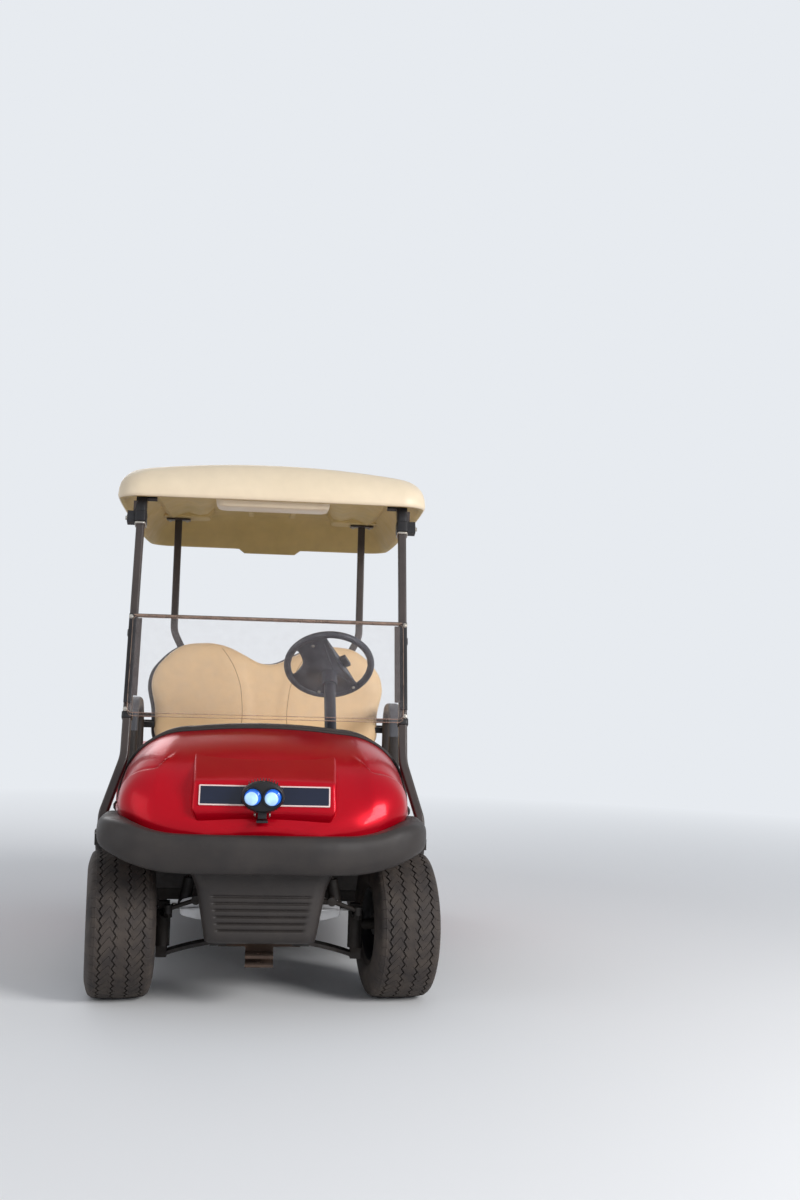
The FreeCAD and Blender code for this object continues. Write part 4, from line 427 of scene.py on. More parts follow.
LAMP = Finish("lamp_black", (0.009, 0.009, 0.011), (0.019, 0.018, 0.019), 0.4, 0.42, 0.08, 0.1, 0.05,
              Grain.PEBBLED, 0.2, 1600.0, 0.3, 0.03, shine=0.3)
WHEEL = Finish("wheel_black", (0.009, 0.011, 0.021), (0.020, 0.023, 0.036), 0.5, 0.42, 0.08, 0.0, 0.05,
               Grain.PEBBLED, 0.3, 1500.0, 0.25, 0.03, shine=0.4)
BATTERY = Finish("battery_case", (0.11, 0.015, 0.015), (0.16, 0.04, 0.03), 0.4, 0.5)
BOLT = Finish("bolt_zinc", (0.50, 0.48, 0.44), (0.34, 0.27, 0.20), 0.5, 0.40, 0.10, 0.9, 0.0,
              Grain.PEBBLED, 0.2, 1500.0, 0.0, 0.25)
PANEL = ClearFinish("clear_panel", (0.50, 0.46, 0.46), 0.035, 0.05)
PANEL_EDGE = ClearFinish("clear_panel_edge", (0.42, 0.29, 0.22), 0.62, 0.25)
# The lenses and reflectors glow a little: painted light standing in for their shine. The pale blue lens is a painted
# glint on each blue lens.
BLUE = ClearFinish("blue_lens", (0.02, 0.16, 0.78), 0.95, 0.06, 0.22)
LENS_GLINT = ClearFinish("pale_blue_lens", (0.46, 0.70, 1.0), 0.95, 0.06, 0.42)
RED_LENS = ClearFinish("red_lens", (0.62, 0.015, 0.012), 0.92, 0.10, 0.12)

Material = Finish | ClearFinish

# The slots of the record, and the slot that a finish without one of its own goes into.
SLOTS = {m["slot"] for m in frame["record"]["materials"]}
SLOT_OF = {"plate_border": "plate_black", "vinyl_seam": "tan_vinyl", "cream_underside": "cream_roof",
           "bolt_zinc": "silver_plate", "clear_panel_edge": "clear_panel", "pale_blue_lens": "blue_lens"}


class Shape:
    """Collects the vertices and faces of one piece before it becomes an object."""

    def __init__(self) -> None:
        """Starts with nothing in it."""
        self.points: list[Vector] = []
        self.faces: list[tuple[int, ...]] = []
        self.tags: list[int] = []

    def add(self, points: Iterable[Sequence[float]], faces: Iterable[Sequence[int]], tag: int = 0) -> "Shape":
        """Adds points, and faces that count from the first of them.

        Args:
            points: the new vertices.
            faces: each face as numbers of the new vertices.
            tag: number of the finish that the faces take.

        Returns:
            The shape itself.
        """
        start = len(self.points)
        self.points.extend(Vector(p) for p in points)
        for face in faces:
            self.faces.append(tuple(start + i for i in face))
            self.tags.append(tag)
        return self

    def rings(self, rings: Sequence[Sequence[Sequence[float]]], closed: bool = True,
              caps: tuple[bool, bool] = (False, False), tag: int = 0) -> "Shape":
        """Joins rows of points, each as long as the next, into a skin.

        Args:
            rings: the rows.
            closed: whether each row comes back to its start.
            caps: whether the first and the last row are filled.
            tag: number of the finish.

        Returns:
            The shape itself.
        """
        count = len(rings[0])
        faces = []
        for r in range(len(rings) - 1):
            for c in range(count if closed else count - 1):
                d = (c + 1) % count
                faces.append((r * count + c, r * count + d, (r + 1) * count + d, (r + 1) * count + c))
        if caps[0]:
            faces.append(tuple(reversed(range(count))))
        if caps[1]:
            faces.append(tuple(range((len(rings) - 1) * count, len(rings) * count)))
        return self.add([p for ring in rings for p in ring], faces, tag)

    def solid(self, rings: Sequence[Sequence[Sequence[float]]], tag: int = 0) -> "Shape":
        """Joins rings into a skin and fills both ends."""
        return self.rings(rings, True, (True, True), tag)

    def lathe(self, profile: Pairs, place: Matrix, steps: int = 48,
              tag: int = 0) -> "Shape":
        """Turns a profile of (radius, distance along the axis) about the Z axis of a place."""
        return self.rings([[place @ Vector((radius * math.cos(a), radius * math.sin(a), along)) for a in turns(steps)]
                           for radius, along in profile], tag=tag)

    def box(self, low: Sequence[float], high: Sequence[float], place: Matrix = Matrix.Identity(4),
            tag: int = 0) -> "Shape":
        """A box between two corners.

        Args:
            low: its least x, y and z.
            high: its greatest x, y and z.
            place: the place that the corners are measured in.
            tag: number of the finish.

        Returns:
            The shape itself.
        """
        (a, b, c), (d, e, f) = low, high
        corners = [(a, b, c), (d, b, c), (d, e, c), (a, e, c), (a, b, f), (d, b, f), (d, e, f), (a, e, f)]
        faces = [(0, 3, 2, 1), (4, 5, 6, 7), (0, 1, 5, 4), (1, 2, 6, 5), (2, 3, 7, 6), (3, 0, 4, 7)]
        return self.add([place @ Vector(p) for p in corners], faces, tag)

    def tube(self, path: Sequence[Vector], radius: float, sides: int = 8, closed: bool = False) -> "Shape":
        """A round tube along a path.

        Args:
            path: its middle line.
            radius: its radius.
            sides: how many faces go round it.
            closed: whether the path comes back to its start.

        Returns:
            The shape itself.
        """
        rings = []
        count = len(path)
        for i, p in enumerate(path):
            before = path[i - 1] if i or closed else p
            after = path[(i + 1) % count] if i < count - 1 or closed else p
            way = (after - before).normalized()
            side = way.cross(Vector((0, 0, 1)))
            if side.length < 0.2:
                side = way.cross(Vector((0, 1, 0)))
            side.normalize()
            top = side.cross(way)
            rings.append([p + (side * math.cos(a) + top * math.sin(a)) * radius for a in turns(sides)])
        return self.rings([*rings, rings[0]]) if closed else self.solid(rings)

    def stack(self, plan: Pairs, levels: Pairs,
              middle: tuple[float, float] = (0.0, 0.0), tag: int = 0) -> "Shape":
        """Stacks copies of a plan and fills both ends.

        Args:
            plan: (x, y) pairs about the plan's middle.
            levels: the height of each copy and the factor that scales it.
            middle: where the plan's middle lies.
            tag: number of the finish.

        Returns:
            The shape itself.
        """
        x, y = middle
        return self.solid([[(x + px * k, y + py * k, z) for px, py in plan] for z, k in levels], tag)

    def bolt(self, at: Sequence[float], way: Sequence[float], radius: float = 0.008, height: float = 0.006,
             tag: int = 0) -> "Shape":
        """A six-sided bolt head on its washer.

        Args:
            at: where the washer lies.
            way: the way that the head stands.
            radius: radius of the head.
            height: height of the head.
            tag: number of the finish.

        Returns:
            The shape itself.
        """
        place = facing(at, way)
        washer = [(0.0001, 0), (radius * 1.45, 0), (radius * 1.45, height * 0.3), (radius, height * 0.3)]
        self.lathe(washer, place, 20, tag)
        head = [(radius, height * 0.3), (radius, height), (radius * 0.82, height * 1.15), (0.0001, height * 1.15)]
        return self.lathe(head, place, 6, tag)


def facing(at: Sequence[float], way: Sequence[float]) -> Matrix:
    """A place whose Z axis points along a way."""
    return Matrix.Translation(Vector(at)) @ Vector(way).to_track_quat("Z", "Y").to_matrix().to_4x4()


def turned(degrees: float, axis: str) -> Matrix:
    """A turn about an axis."""
    return Matrix.Rotation(math.radians(degrees), 4, axis)


def smooth_path(corners: Sequence[Sequence[float]], steps: int = 12) -> list[Vector]:
    """Points of a smooth curve that passes through its corners.

    Args:
        corners: the points that the curve goes through.
        steps: how many pieces each stretch is divided into.

    Returns:
        The points, the last corner included.
    """
    pts = [Vector(c) for c in corners]
    pts = [2 * pts[0] - pts[1], *pts, 2 * pts[-1] - pts[-2]]
    out = []
    for a, b, c, d in zip(pts, pts[1:], pts[2:], pts[3:]):
        for n in range(steps):
            t = n / steps
            out.append(0.5 * ((2 * b) + (c - a) * t + (2 * a - 5 * b + 4 * c - d) * t * t
                              + (3 * b - a - 3 * c + d) * t ** 3))
    return [*out, pts[-2]]


def round_corners(corners: Sequence[Sequence[float]], radii: Sequence[float], steps: int = 6) -> list[Vector]:
    """Points of straight runs with arcs at the inner corners.

    Args:
        corners: the points where the runs meet.
        radii: radius of the arc at each inner corner.
        steps: how many pieces an arc is divided into.

    Returns:
        The points.
    """
    pts = [Vector(c) for c in corners]
    out = [pts[0]]
    for before, corner, after, radius in zip(pts, pts[1:], pts[2:], radii):
        a, b = (before - corner).normalized(), (after - corner).normalized()
        half = a.angle(b) / 2
        reach = radius / math.tan(half)
        centre = corner + (a + b).normalized() * (radius / math.sin(half))
        start, end = corner + a * reach - centre, corner + b * reach - centre
        for n in range(steps + 1):
            out.append(centre + start.slerp(end, n / steps) * start.length)
    return [*out, pts[-1]]


def rounded_box_section(width: float, height: float, radius: float, steps: int = 4) -> list[tuple[float, float]]:
    """Points round a rectangle with round corners, anticlockwise from the lower right.

    Args:
        width: its width.
        height: its height.
        radius: radius of its corners.
        steps: how many pieces a corner is divided into.

    Returns:
        (x, y) pairs about the rectangle's middle.
    """
    out = []
    for corner, (sx, sy) in enumerate(((1, -1), (1, 1), (-1, 1), (-1, -1))):
        for n in range(steps + 1):
            a = math.pi / 2 * (corner - 1 + n / steps)
            out.append((sx * (width / 2 - radius) + radius * math.cos(a),
                        sy * (height / 2 - radius) + radius * math.sin(a)))
    return out


def soften(line: list[Vector], times: int) -> list[Vector]:
    """Rounds a line off by means of neighbouring points.

    Args:
        line: the points, of which the first and the last stay.
        times: how often the means are taken.

    Returns:
        As many points, on a softer line.
    """
    for _ in range(times):
        line = [line[0], *((a + b * 2 + c) / 4 for a, b, c in zip(line, line[1:], line[2:])), line[-1]]
    return line


def evenly(line: Sequence[Vector], count: int) -> list[Vector]:
    """Points at equal steps along a line.

    Args:
        line: the points that it runs through.
        count: how many steps it is divided into.

    Returns:
        The points, both ends included.
    """
    length = [0.0]
    for a, b in zip(line, line[1:]):
        length.append(length[-1] + (b - a).length)
    out, i = [], 0
    for n in range(count + 1):
        want = length[-1] * n / count
        while i < len(length) - 2 and length[i + 1] < want:
            i += 1
        share = (want - length[i]) / max(1e-9, length[i + 1] - length[i])
        out.append(line[i].lerp(line[i + 1], share))
    return out


def heading(line: Sequence[Vector], i: int) -> Vector:
    """The way that a line runs at one of its points."""
    return (line[min(i + 1, len(line) - 1)] - line[max(i - 1, 0)]).normalized()


def sweep(path: Sequence[Vector], section: Pairs) -> list[list[Vector]]:
    """Rings of a section carried along a path, its second axis kept upright.

    Args:
        path: the middle line.
        section: (across, up) pairs.

    Returns:
        One ring for each point of the path.
    """
    rings = []
    for i, p in enumerate(path):
        way = heading(path, i)
        side = way.cross(Vector((0, 0, 1))).normalized()
        rings.append([p + side * x + side.cross(way) * y for x, y in section])
    return rings


def stand(middle: Sequence[float], up: Vector, out: Vector) -> Matrix:
    """A place whose X axis is the cart's own.

    Args:
        middle: where it lies.
        up: the way of its Y axis.
        out: the way of its Z axis.

    Returns:
        The place.
    """
    place = Matrix((Vector((1, 0, 0)), up, out)).transposed().to_4x4()
    place.translation = middle
    return place


def make(name: str, shape: Shape, finishes: Material | Sequence[Material], replaces: Sequence[str] = (),
         angle: float = 38.0, bevel: float = 0.0, body: str = "chassis", subdivide: int = 0,
         wall: float = 0.0) -> bpy.types.Object:
    """Turns a shape into a dressed object that rides on a body of the frame.

    Args:
        name: the object's name.
        shape: its mesh.
        finishes: one finish, or several that the faces' tags pick from.
        replaces: frame nodes that it stands for.
        angle: edges sharper than this, in degrees, stay sharp.
        bevel: width of the rounding on sharp edges.
        body: the body it moves with.
        subdivide: levels of surface subdivision.
        wall: thickness given to an open skin, towards its inside.

    Returns:
        The object.
    """
    mesh = bpy.data.meshes.new(name)
    mesh.from_pydata([tuple(p) for p in shape.points], [], shape.faces)
    mesh.update()
    listed = [finishes] if isinstance(finishes, (Finish, ClearFinish)) else list(finishes)
    for finish in listed:
        mesh.materials.append(finish.build())
    for polygon, tag in zip(mesh.polygons, shape.tags):
        polygon.material_index = tag
    tidy = bmesh.new()
    tidy.from_mesh(mesh)
    bmesh.ops.remove_doubles(tidy, verts=tidy.verts, dist=2e-6)
    bmesh.ops.recalc_face_normals(tidy, faces=tidy.faces)
    tidy.to_mesh(mesh)
    tidy.free()
    mesh.shade_smooth()
    mesh.set_sharp_from_angle(angle=math.radians(angle))
    item = bpy.data.objects.new(name, mesh)
    bpy.context.collection.objects.link(item)
    if wall:
        skin = item.modifiers.new("wall", "SOLIDIFY")
        skin.thickness = wall
        skin.offset = -1
    if bevel:
        add_bevel(item, bevel, angle)
    if subdivide:
        soft = item.modifiers.new("smooth", "SUBSURF")
        soft.levels = soft.render_levels = subdivide
    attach(item, body)
    slot = listed[0].name
    slot if slot in SLOTS else SLOT_OF[slot]
    if replaces:
        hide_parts(*replaces)
    LOG.info("%s: %d faces on %s", name, len(mesh.polygons), body)
    return item


def add_bevel(item: bpy.types.Object, width: float, angle: float = 35.0) -> None:
    """Rounds an object's sharp edges with a modifier.

    Args:
        item: the object.
        width: width of the rounding.
        angle: edges sharper than this are rounded.
    """
    edge = item.modifiers.new("edges", "BEVEL")
    edge.width = width
    edge.segments = 2
    edge.limit_method = "ANGLE"
    edge.angle_limit = math.radians(angle)
    edge.harden_normals = False


def dress(node: str, finish: Material, bevel: float = 0.0) -> None:
    """Gives a node of the frame its finish.

    Args:
        node: the node's name.
        finish: its finish.
        bevel: width of the rounding on its sharp edges.
    """
    item = frame["nodes"][node]
    item.data.materials.clear()
    item.data.materials.append(finish.build())
    if bevel:
        add_bevel(item, bevel)
    LOG.info("%s: kept, %s", node, finish.name)


@dataclass
class Stage:
    """Plain pale floor, pale backdrop and soft studio light."""

    floor_colour: Colour = (0.86, 0.86, 0.86)
    backdrop: Colour = (0.80, 0.83, 0.87)

    def build(self) -> None:
        """Makes the floor, the world and the lamps."""
        mesh = bpy.data.meshes.new("floor")
        reach = 60.0
        mesh.from_pydata([(-reach, -reach, 0), (reach, -reach, 0), (reach, reach, 0), (-reach, reach, 0)], [],
                         [(0, 1, 2, 3)])
        floor = bpy.data.objects.new("floor", mesh)
        bpy.context.collection.objects.link(floor)
        mesh.materials.append(self._floor())
        self._world()
        # Name, length of the side, power in watts, place, and the point that the lamp faces.
        for name, size, power, place, aim in (
            ("key", 2.6, 360.0, (4.6, -5.2, 3.1), (0.0, -0.3, 0.8)),
            ("fill", 4.5, 70.0, (-5.6, -3.6, 2.6), (0.0, 0.0, 0.8)),
            ("back", 4.0, 85.0, (-1.5, 6.0, 4.4), (0.0, 0.0, 0.9)),
        ):
            lamp = bpy.data.lights.new(name, "AREA")
            lamp.shape = "SQUARE"
            lamp.size = size
            lamp.energy = power
            item = bpy.data.objects.new(name, lamp)
            item.location = place
            item.rotation_euler = (Vector(aim) - Vector(place)).to_track_quat("-Z", "Y").to_euler()
            bpy.context.collection.objects.link(item)

    def _floor(self) -> bpy.types.Material:
        """A matt pale floor that keeps the cart's shadow and fades into the backdrop.

        Returns:
            Its material.
        """
        material = bpy.data.materials.new("floor")
        material.use_nodes = True
        shader = plain_shader(material)
        net = Net(material.node_tree)
        net.feed(shader.inputs["Base Color"], self.floor_colour)
        net.feed(shader.inputs["Roughness"], 0.95)
        net.feed(shader.inputs["Specular IOR Level"], 0.1)
        length = net.node("VectorMath")
        length.operation = "LENGTH"
        net.feed(length.inputs[0], net.node("TexCoord").outputs["Object"])
        far = net.spread(length.outputs["Value"], 2.4, 7.0, 0.0, 1.0)
        haze = net.node("Emission", Color=self.backdrop)
        blend = net.mix_shader(net.multiply(far, net.seen()), shader, haze)
        output = next(n for n in material.node_tree.nodes if n.type == "OUTPUT_MATERIAL")
        net.feed(output.inputs["Surface"], blend)
        return material

    def _world(self) -> None:
        """Even light for the cart, and the pale backdrop where the camera or a gloss looks out."""
        world = bpy.data.worlds.new("studio")
        bpy.context.scene.world = world
        world.use_nodes = True
        world.node_tree.nodes.clear()
        net = Net(world.node_tree)
        out = net.node("OutputWorld")
        light = net.node("Background", Color=(0.86, 0.91, 1.0), Strength=0.42)
        back = net.node("Background", Color=self.backdrop, Strength=1.0)
        net.feed(out.inputs["Surface"], net.mix_shader(net.seen(), light, back))


@dataclass(frozen=True)
class Viewpoint:
    """The camera, solved from the photograph: its place, turn and lens."""

    place: Point = (-0.034, -5.168, 1.013)
    yaw: float = 5.888
    pitch: float = 3.365
    roll: float = 1.667
    lens: float = 40.69

    def build(self) -> None:
        """Makes the camera and gives it to the scene."""
        yaw, pitch, roll = (math.radians(a) for a in (self.yaw, self.pitch, self.roll))
        ahead = Vector((math.sin(yaw) * math.cos(pitch), math.cos(yaw) * math.cos(pitch), math.sin(pitch)))
        across = Vector((math.cos(yaw), -math.sin(yaw), 0))
        upward = across.cross(ahead)
        right = across * math.cos(roll) + upward * math.sin(roll)
        top = upward * math.cos(roll) - across * math.sin(roll)
        lens = bpy.data.cameras.new("camera")
        lens.lens = self.lens
        lens.sensor_width = 36
        camera = bpy.data.objects.new("camera", lens)
        camera.matrix_world = Matrix((right, top, -ahead)).transposed().to_4x4()
        camera.location = Vector(self.place)
        bpy.context.collection.objects.link(camera)
        bpy.context.scene.camera = camera


@dataclass
class FrontBody:
    """The red cowl with its raised ledge and cheeks, the blank plate and the black rim at the dash."""

    nose: float = -1.170
    height: float = 0.840
    base: float = 0.505
    wall: float = 0.006
    # Distance behind the nose, half width, top of the straight side, half width of the crown, drop of the crown.
    sections: Table = (
        (0.078, 0.165, 0.535, 0.105, 0.274),
        (0.100, 0.295, 0.556, 0.205, 0.226),
        (0.140, 0.385, 0.576, 0.262, 0.168),
        (0.210, 0.430, 0.590, 0.282, 0.106),
        (0.310, 0.445, 0.592, 0.276, 0.056),
        (0.530, 0.470, 0.588, 0.238, 0.000),
    )
    # Where the crease over each cheek runs: distance from the middle, height.
    crease: Table = (
        (0.25, 0.790), (0.30, 0.750), (0.326, 0.722), (0.366, 0.714), (0.406, 0.693), (0.437, 0.645), (0.448, 0.585),
    )
    # Half width of the block that carries the plate, at a height.
    ledge_sides: Table = (
        (0.560, 0.196), (0.585, 0.204), (0.614, 0.216), (0.655, 0.2215), (0.690, 0.213), (0.757, 0.220), (0.770, 0.222),
    )
    # Middle line of that block from its foot to where it runs out in the crown: distance behind the nose, height.
    ledge_line: Table = (
        (0.122, 0.558), (0.089, 0.574), (0.0770, 0.603), (0.0745, 0.611), (0.0755, 0.619), (0.1020, 0.688),
        (0.1045, 0.694), (0.1100, 0.699), (0.262, 0.757), (0.285, 0.766),
    )

    def row(self, back: float) -> list[float]:
        """The last four numbers of the section at a distance behind the nose."""
        return [pchip([(s[0], s[i]) for s in self.sections], back) for i in range(1, 5)]

    def half_section(self, back: float, count: int = 90) -> list[Vector]:
        """The section from the foot of the side up to the middle of the crown.

        Args:
            back: its distance behind the nose.
            count: how many steps it is divided into.

        Returns:
            Evenly spaced points.
        """
        wide, side_top, crown, drop = self.row(back)
        y, top = self.nose + back, self.height - drop
        shoulder = top - 0.014
        line = []
        for n in range(20):
            z = mix(self.base, side_top, n / 20)
            tuck = 0.004 * (1 - smoothstep(0.570, 0.602, z)) * (1 - smoothstep(0.36, 0.46, back))
            line.append(Vector((wide - tuck, y, z)))
        for n in range(41):
            a = math.radians(90) * n / 40
            line.append(Vector((crown + (wide - crown) * math.cos(a) ** 0.92, y,
                                side_top + (shoulder - side_top) * math.sin(a) ** 0.92)))
        for n in range(1, 25):
            x = crown * (1 - n / 24)
            line.append(Vector((x, y, shoulder + 0.014 * (1 - (x / crown) ** 2))))
        return evenly(soften(line, 6), count)

    def cheek(self, p: Vector) -> Vector:
        """Swells the cheek below the crease.

        Args:
            p: a point of the cowl.

        Returns:
            Where it goes.
        """
        x = abs(p.x)
        if x < 0.25 or p.z < 0.56:
            return p
        below = pchip(self.crease, x) - p.z
        behind = smoothstep(0.09, 0.15, p.y - self.nose)
        step = smoothstep(-0.003, 0.006, below) * (1 - smoothstep(0.03, 0.15, below))
        swell = 0.012 * step * smoothstep(0.262, 0.325, x) * behind
        groove = -0.003 * math.exp(-((below + 0.003) / 0.004) ** 2) * smoothstep(0.27, 0.31, x)
        out = Vector((math.copysign(0.75, p.x), -0.35, 0.5)).normalized()
        return p + out * (swell + groove * behind)

    def build(self) -> None:
        """Makes the cowl, the ledge, the rim, the plate and the lamp."""
        first, last = self.sections[0][0], self.sections[-1][0]
        rings = []
        for n in range(93):
            half = [self.cheek(p) for p in self.half_section(mix(first, last, (n / 92) ** 1.25))]
            rings.append(half + [Vector((-p.x, p.y, p.z)) for p in reversed(half[:-1])])
        shape = Shape().rings(rings, False)
        front = rings[0]
        shape.add([*front, (0, front[0].y, self.base)],
                  [(i, i + 1, len(front)) for i in range(len(front) - 1)])
        make("cowl", shape, RED, ["front_body"], 42, wall=self.wall)
        self._ledge()
        self._trim(rings[-1])
        self._plate()
        self._lamp()

    def _ledge(self) -> None:
        """The raised block that carries the plate, with drafted sides and rounded edges."""
        rings = []
        for n in range(41):
            t = n / 40 * 2 - 1
            rings.append([Vector((t * (pchip(self.ledge_sides, z) - 0.005), self.nose + y, z + 0.004 * (1 - t * t)))
                          for y, z in self.ledge_line])
        for end, side in ((0, -1), (-1, 1)):
            outer = [Vector((p.x + side * 0.005, p.y + 0.005, p.z)) for p in rings[end]]
            root = [Vector((p.x + side * 0.012, p.y + 0.080, p.z + 0.004)) for p in rings[end]]
            rings = [root, outer, *rings] if end == 0 else [*rings, outer, root]
        make("cowl_ledge", Shape().rings(rings, False), RED, angle=50, subdivide=1)

    @staticmethod
    def _trim(edge: list[Vector]) -> None:
        """The black rounded rim of the cowl.

        Args:
            edge: the cowl's rear edge.
        """
        section = rounded_box_section(0.012, 0.022, 0.005)
        rings = []
        for i, p in enumerate(edge):
            out = heading(edge, i).cross(Vector((0, 1, 0)))
            if out.dot(p - Vector((0, p.y, 0.60))) < 0:
                out = -out
            rings.append([p + out * (x + 0.002) + Vector((0, 0.004 + z, 0)) for x, z in section])
        make("cowl_rim", Shape().solid(rings), BLACK)

    def _plate(self) -> None:
        """The blank plate: a dark field inside a thin pale border."""
        (y0, z0), (y1, z1) = self.ledge_line[4:6]
        low, high = Vector((0, self.nose + y0, z0)), Vector((0, self.nose + y1, z1 + 0.003))
        up = (high - low).normalized()
        out = Vector((0, -up.z, up.y))
        place = stand((low + high) / 2 + out * 0.0045, up, out)
        outer = rounded_box_section(0.390, 0.062, 0.003)
        inner = rounded_box_section(0.382, 0.054, 0.002)
        loops = [(outer, -0.004), (outer, 0.0004), (inner, 0.0006), (inner, 0.0)]
        rings = [[place @ Vector((x, y, z)) for x, y in loop] for loop, z in loops]
        shape = Shape().rings(rings[:3], True, (True, False), 1)
        shape.rings(rings[2:], True, (False, True))
        make("blank_plate", shape, (PLATE, BORDER), ["name_plate"], 30)

    def _lamp(self) -> None:
        """The twin spot lamp: oval finned housing, two blue lenses with painted glints, bezel rings, foot and screws.
        """
        foot = max(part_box("spot_lamp")[0].z, 0.556)
        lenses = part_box("spot_lamp_lenses")
        centre = Vector(((lenses[0].x + lenses[1].x) / 2, lenses[0].y, (lenses[0].z + lenses[1].z) / 2))
        face = centre.y + 0.003
        place = Matrix.Translation((centre.x, face, centre.z)) @ turned(90, "X")
        half_x, half_z = 0.0645, 0.0465
        # Share of the full oval, then the depth behind the face.
        profile = [(0.30, -0.006), (0.80, -0.006), (0.93, -0.003), (0.985, 0.002), (1.0, 0.008),
                   (1.0, 0.022), (0.96, 0.032), (0.80, 0.040), (0.3, 0.044)]
        shape = Shape().solid([[place @ Vector((half_x * k * math.cos(a), half_z * k * math.sin(a), -depth))
                                for a in turns(56)] for k, depth in profile])
        for n in range(11):
            x = -0.042 + n * 0.0084
            h = half_z * math.sqrt(1 - (x / half_x) ** 2)
            shape.box((x - 0.0014, -h - 0.004, -0.036), (x + 0.0014, h + 0.0065, -0.012), place)
        shape.box((-0.013, -half_z - 0.020, -0.030), (0.013, -half_z + 0.006, -0.020), place)
        shape.box((centre.x - 0.017, face - 0.004, foot), (centre.x + 0.017, self.nose + 0.125, foot + 0.006))
        for s in (-1, 1):
            shape.bolt((centre.x + 0.020 * s, face + 0.026, centre.z - half_z - 0.008), (s, 0, 0), 0.006, 0.004, 1)
        make("spot_lamp_case", shape, (LAMP, BOLT), ["spot_lamp"], 35, 0.0012)
        for side in Side:
            at = place @ Matrix.Translation((0.0295 * side.value, -0.001, 0))
            bezel = [(0.0290, -0.006), (0.0294, 0.004), (0.0286, 0.0060), (0.0276, 0.0045), (0.0272, -0.008)]
            lens = Shape().lathe([(r, z + 0.006) for r, z in bezel], at, 40)
            dome = [(0.0273, 0.002), (0.0245, 0.006), (0.0190, 0.0092), (0.0105, 0.0112), (0.0002, 0.0118)]
            lens.lathe(dome, at, 40, 1)
            # A pale glowing dome off the middle of each lens: a painted glint.
            glint_place = at @ Matrix.Translation((-0.003, -0.003, 0.0082))
            lens.lathe([(0.0215, -0.002), (0.0180, 0.0024), (0.0095, 0.0044), (0.0002, 0.0050)], glint_place, 28, 2)
            make(f"spot_lamp_lens_{side.word}", lens, (LAMP, BLUE, LENS_GLINT), ["spot_lamp_lenses"], 40)


@dataclass
class Bumper:
    """The thick black front bumper that wraps round the nose with rising, slimmer rounded ends."""

    depth: float = 0.075
    height: float = 0.114
    middle: float = 0.487
    rise: float = 0.048
    slimmer: float = 0.20
    tip: float = 0.0375
    # How much broader the bar is at the bends, towards the cowl, as a share of its half depth.
    broader: float = 0.95
    # Share of the rise at a distance from the middle.
    lift: Table = ((0.0, 0.0), (0.26, 0.0), (0.325, 0.14), (0.375, 0.42), (0.43, 0.80), (0.4625, 1.0))

    def path(self) -> list[Vector]:
        """The bumper's middle line.

        Returns:
            Points from one end to the other.
        """
        half = [(0.4625, -0.850, self.middle), (0.4625, -1.075, self.middle), (0.170, -1.1325, self.middle)]
        corners = half + [(-x, y, h) for x, y, h in reversed(half)]
        line = round_corners(corners, [0.105, 0.560, 0.560, 0.105], 16)
        dense = []
        for a, b in zip(line, line[1:]):
            pieces = max(1, int((b - a).length / 0.006))
            dense.extend(a.lerp(b, n / pieces) for n in range(pieces))
        dense.append(line[-1])
        for p in dense:
            p.z = self.middle + self.rise * pchip(self.lift, abs(p.x))
        return soften(dense, 10)

    def section(self) -> list[tuple[float, float]]:
        """A soft rounded section.

        Returns:
            (across, up) pairs about the middle line.
        """
        waves = [(math.cos(a), math.sin(a)) for a in turns(48)]
        return [(self.depth / 2 * math.copysign(abs(c) ** 0.68, c),
                 self.height / 2 * math.copysign(abs(s) ** 0.74, s)) for c, s in waves]

    def build(self) -> None:
        """Makes the bumper bar with its rounded ends."""
        path = self.path()
        steps = [math.sin(math.pi / 2 * n / 12) for n in range(12)]
        head = [path[0] + Vector((0, self.tip * (1 - k), 0)) for k in steps]
        tail = [path[-1] + Vector((0, self.tip * (1 - k), 0)) for k in reversed(steps)]
        line = head + path + tail
        section = self.section()
        rings = []
        for i, p in enumerate(line):
            side = heading(line, i).cross(Vector((0, 0, 1))).normalized()
            past = max(0.0, p.y - path[0].y) / self.tip
            reach = max(0.03, math.sqrt(max(0.0, 1 - past * past)))
            tall = reach ** 0.55 * (1 - self.slimmer * smoothstep(0.38, 0.48, abs(p.x)))
            broad = self.broader * smoothstep(0.27, 0.38, abs(p.x)) * (1 - smoothstep(-1.00, -0.93, p.y))
            rings.append([p + side * x * reach * (1 + broad * (x > 0)) + Vector((0, 0, z * tall))
                          for x, z in section])
        make("front_bumper_bar", Shape().solid(rings), BLACK, ["front_bumper"], 60)


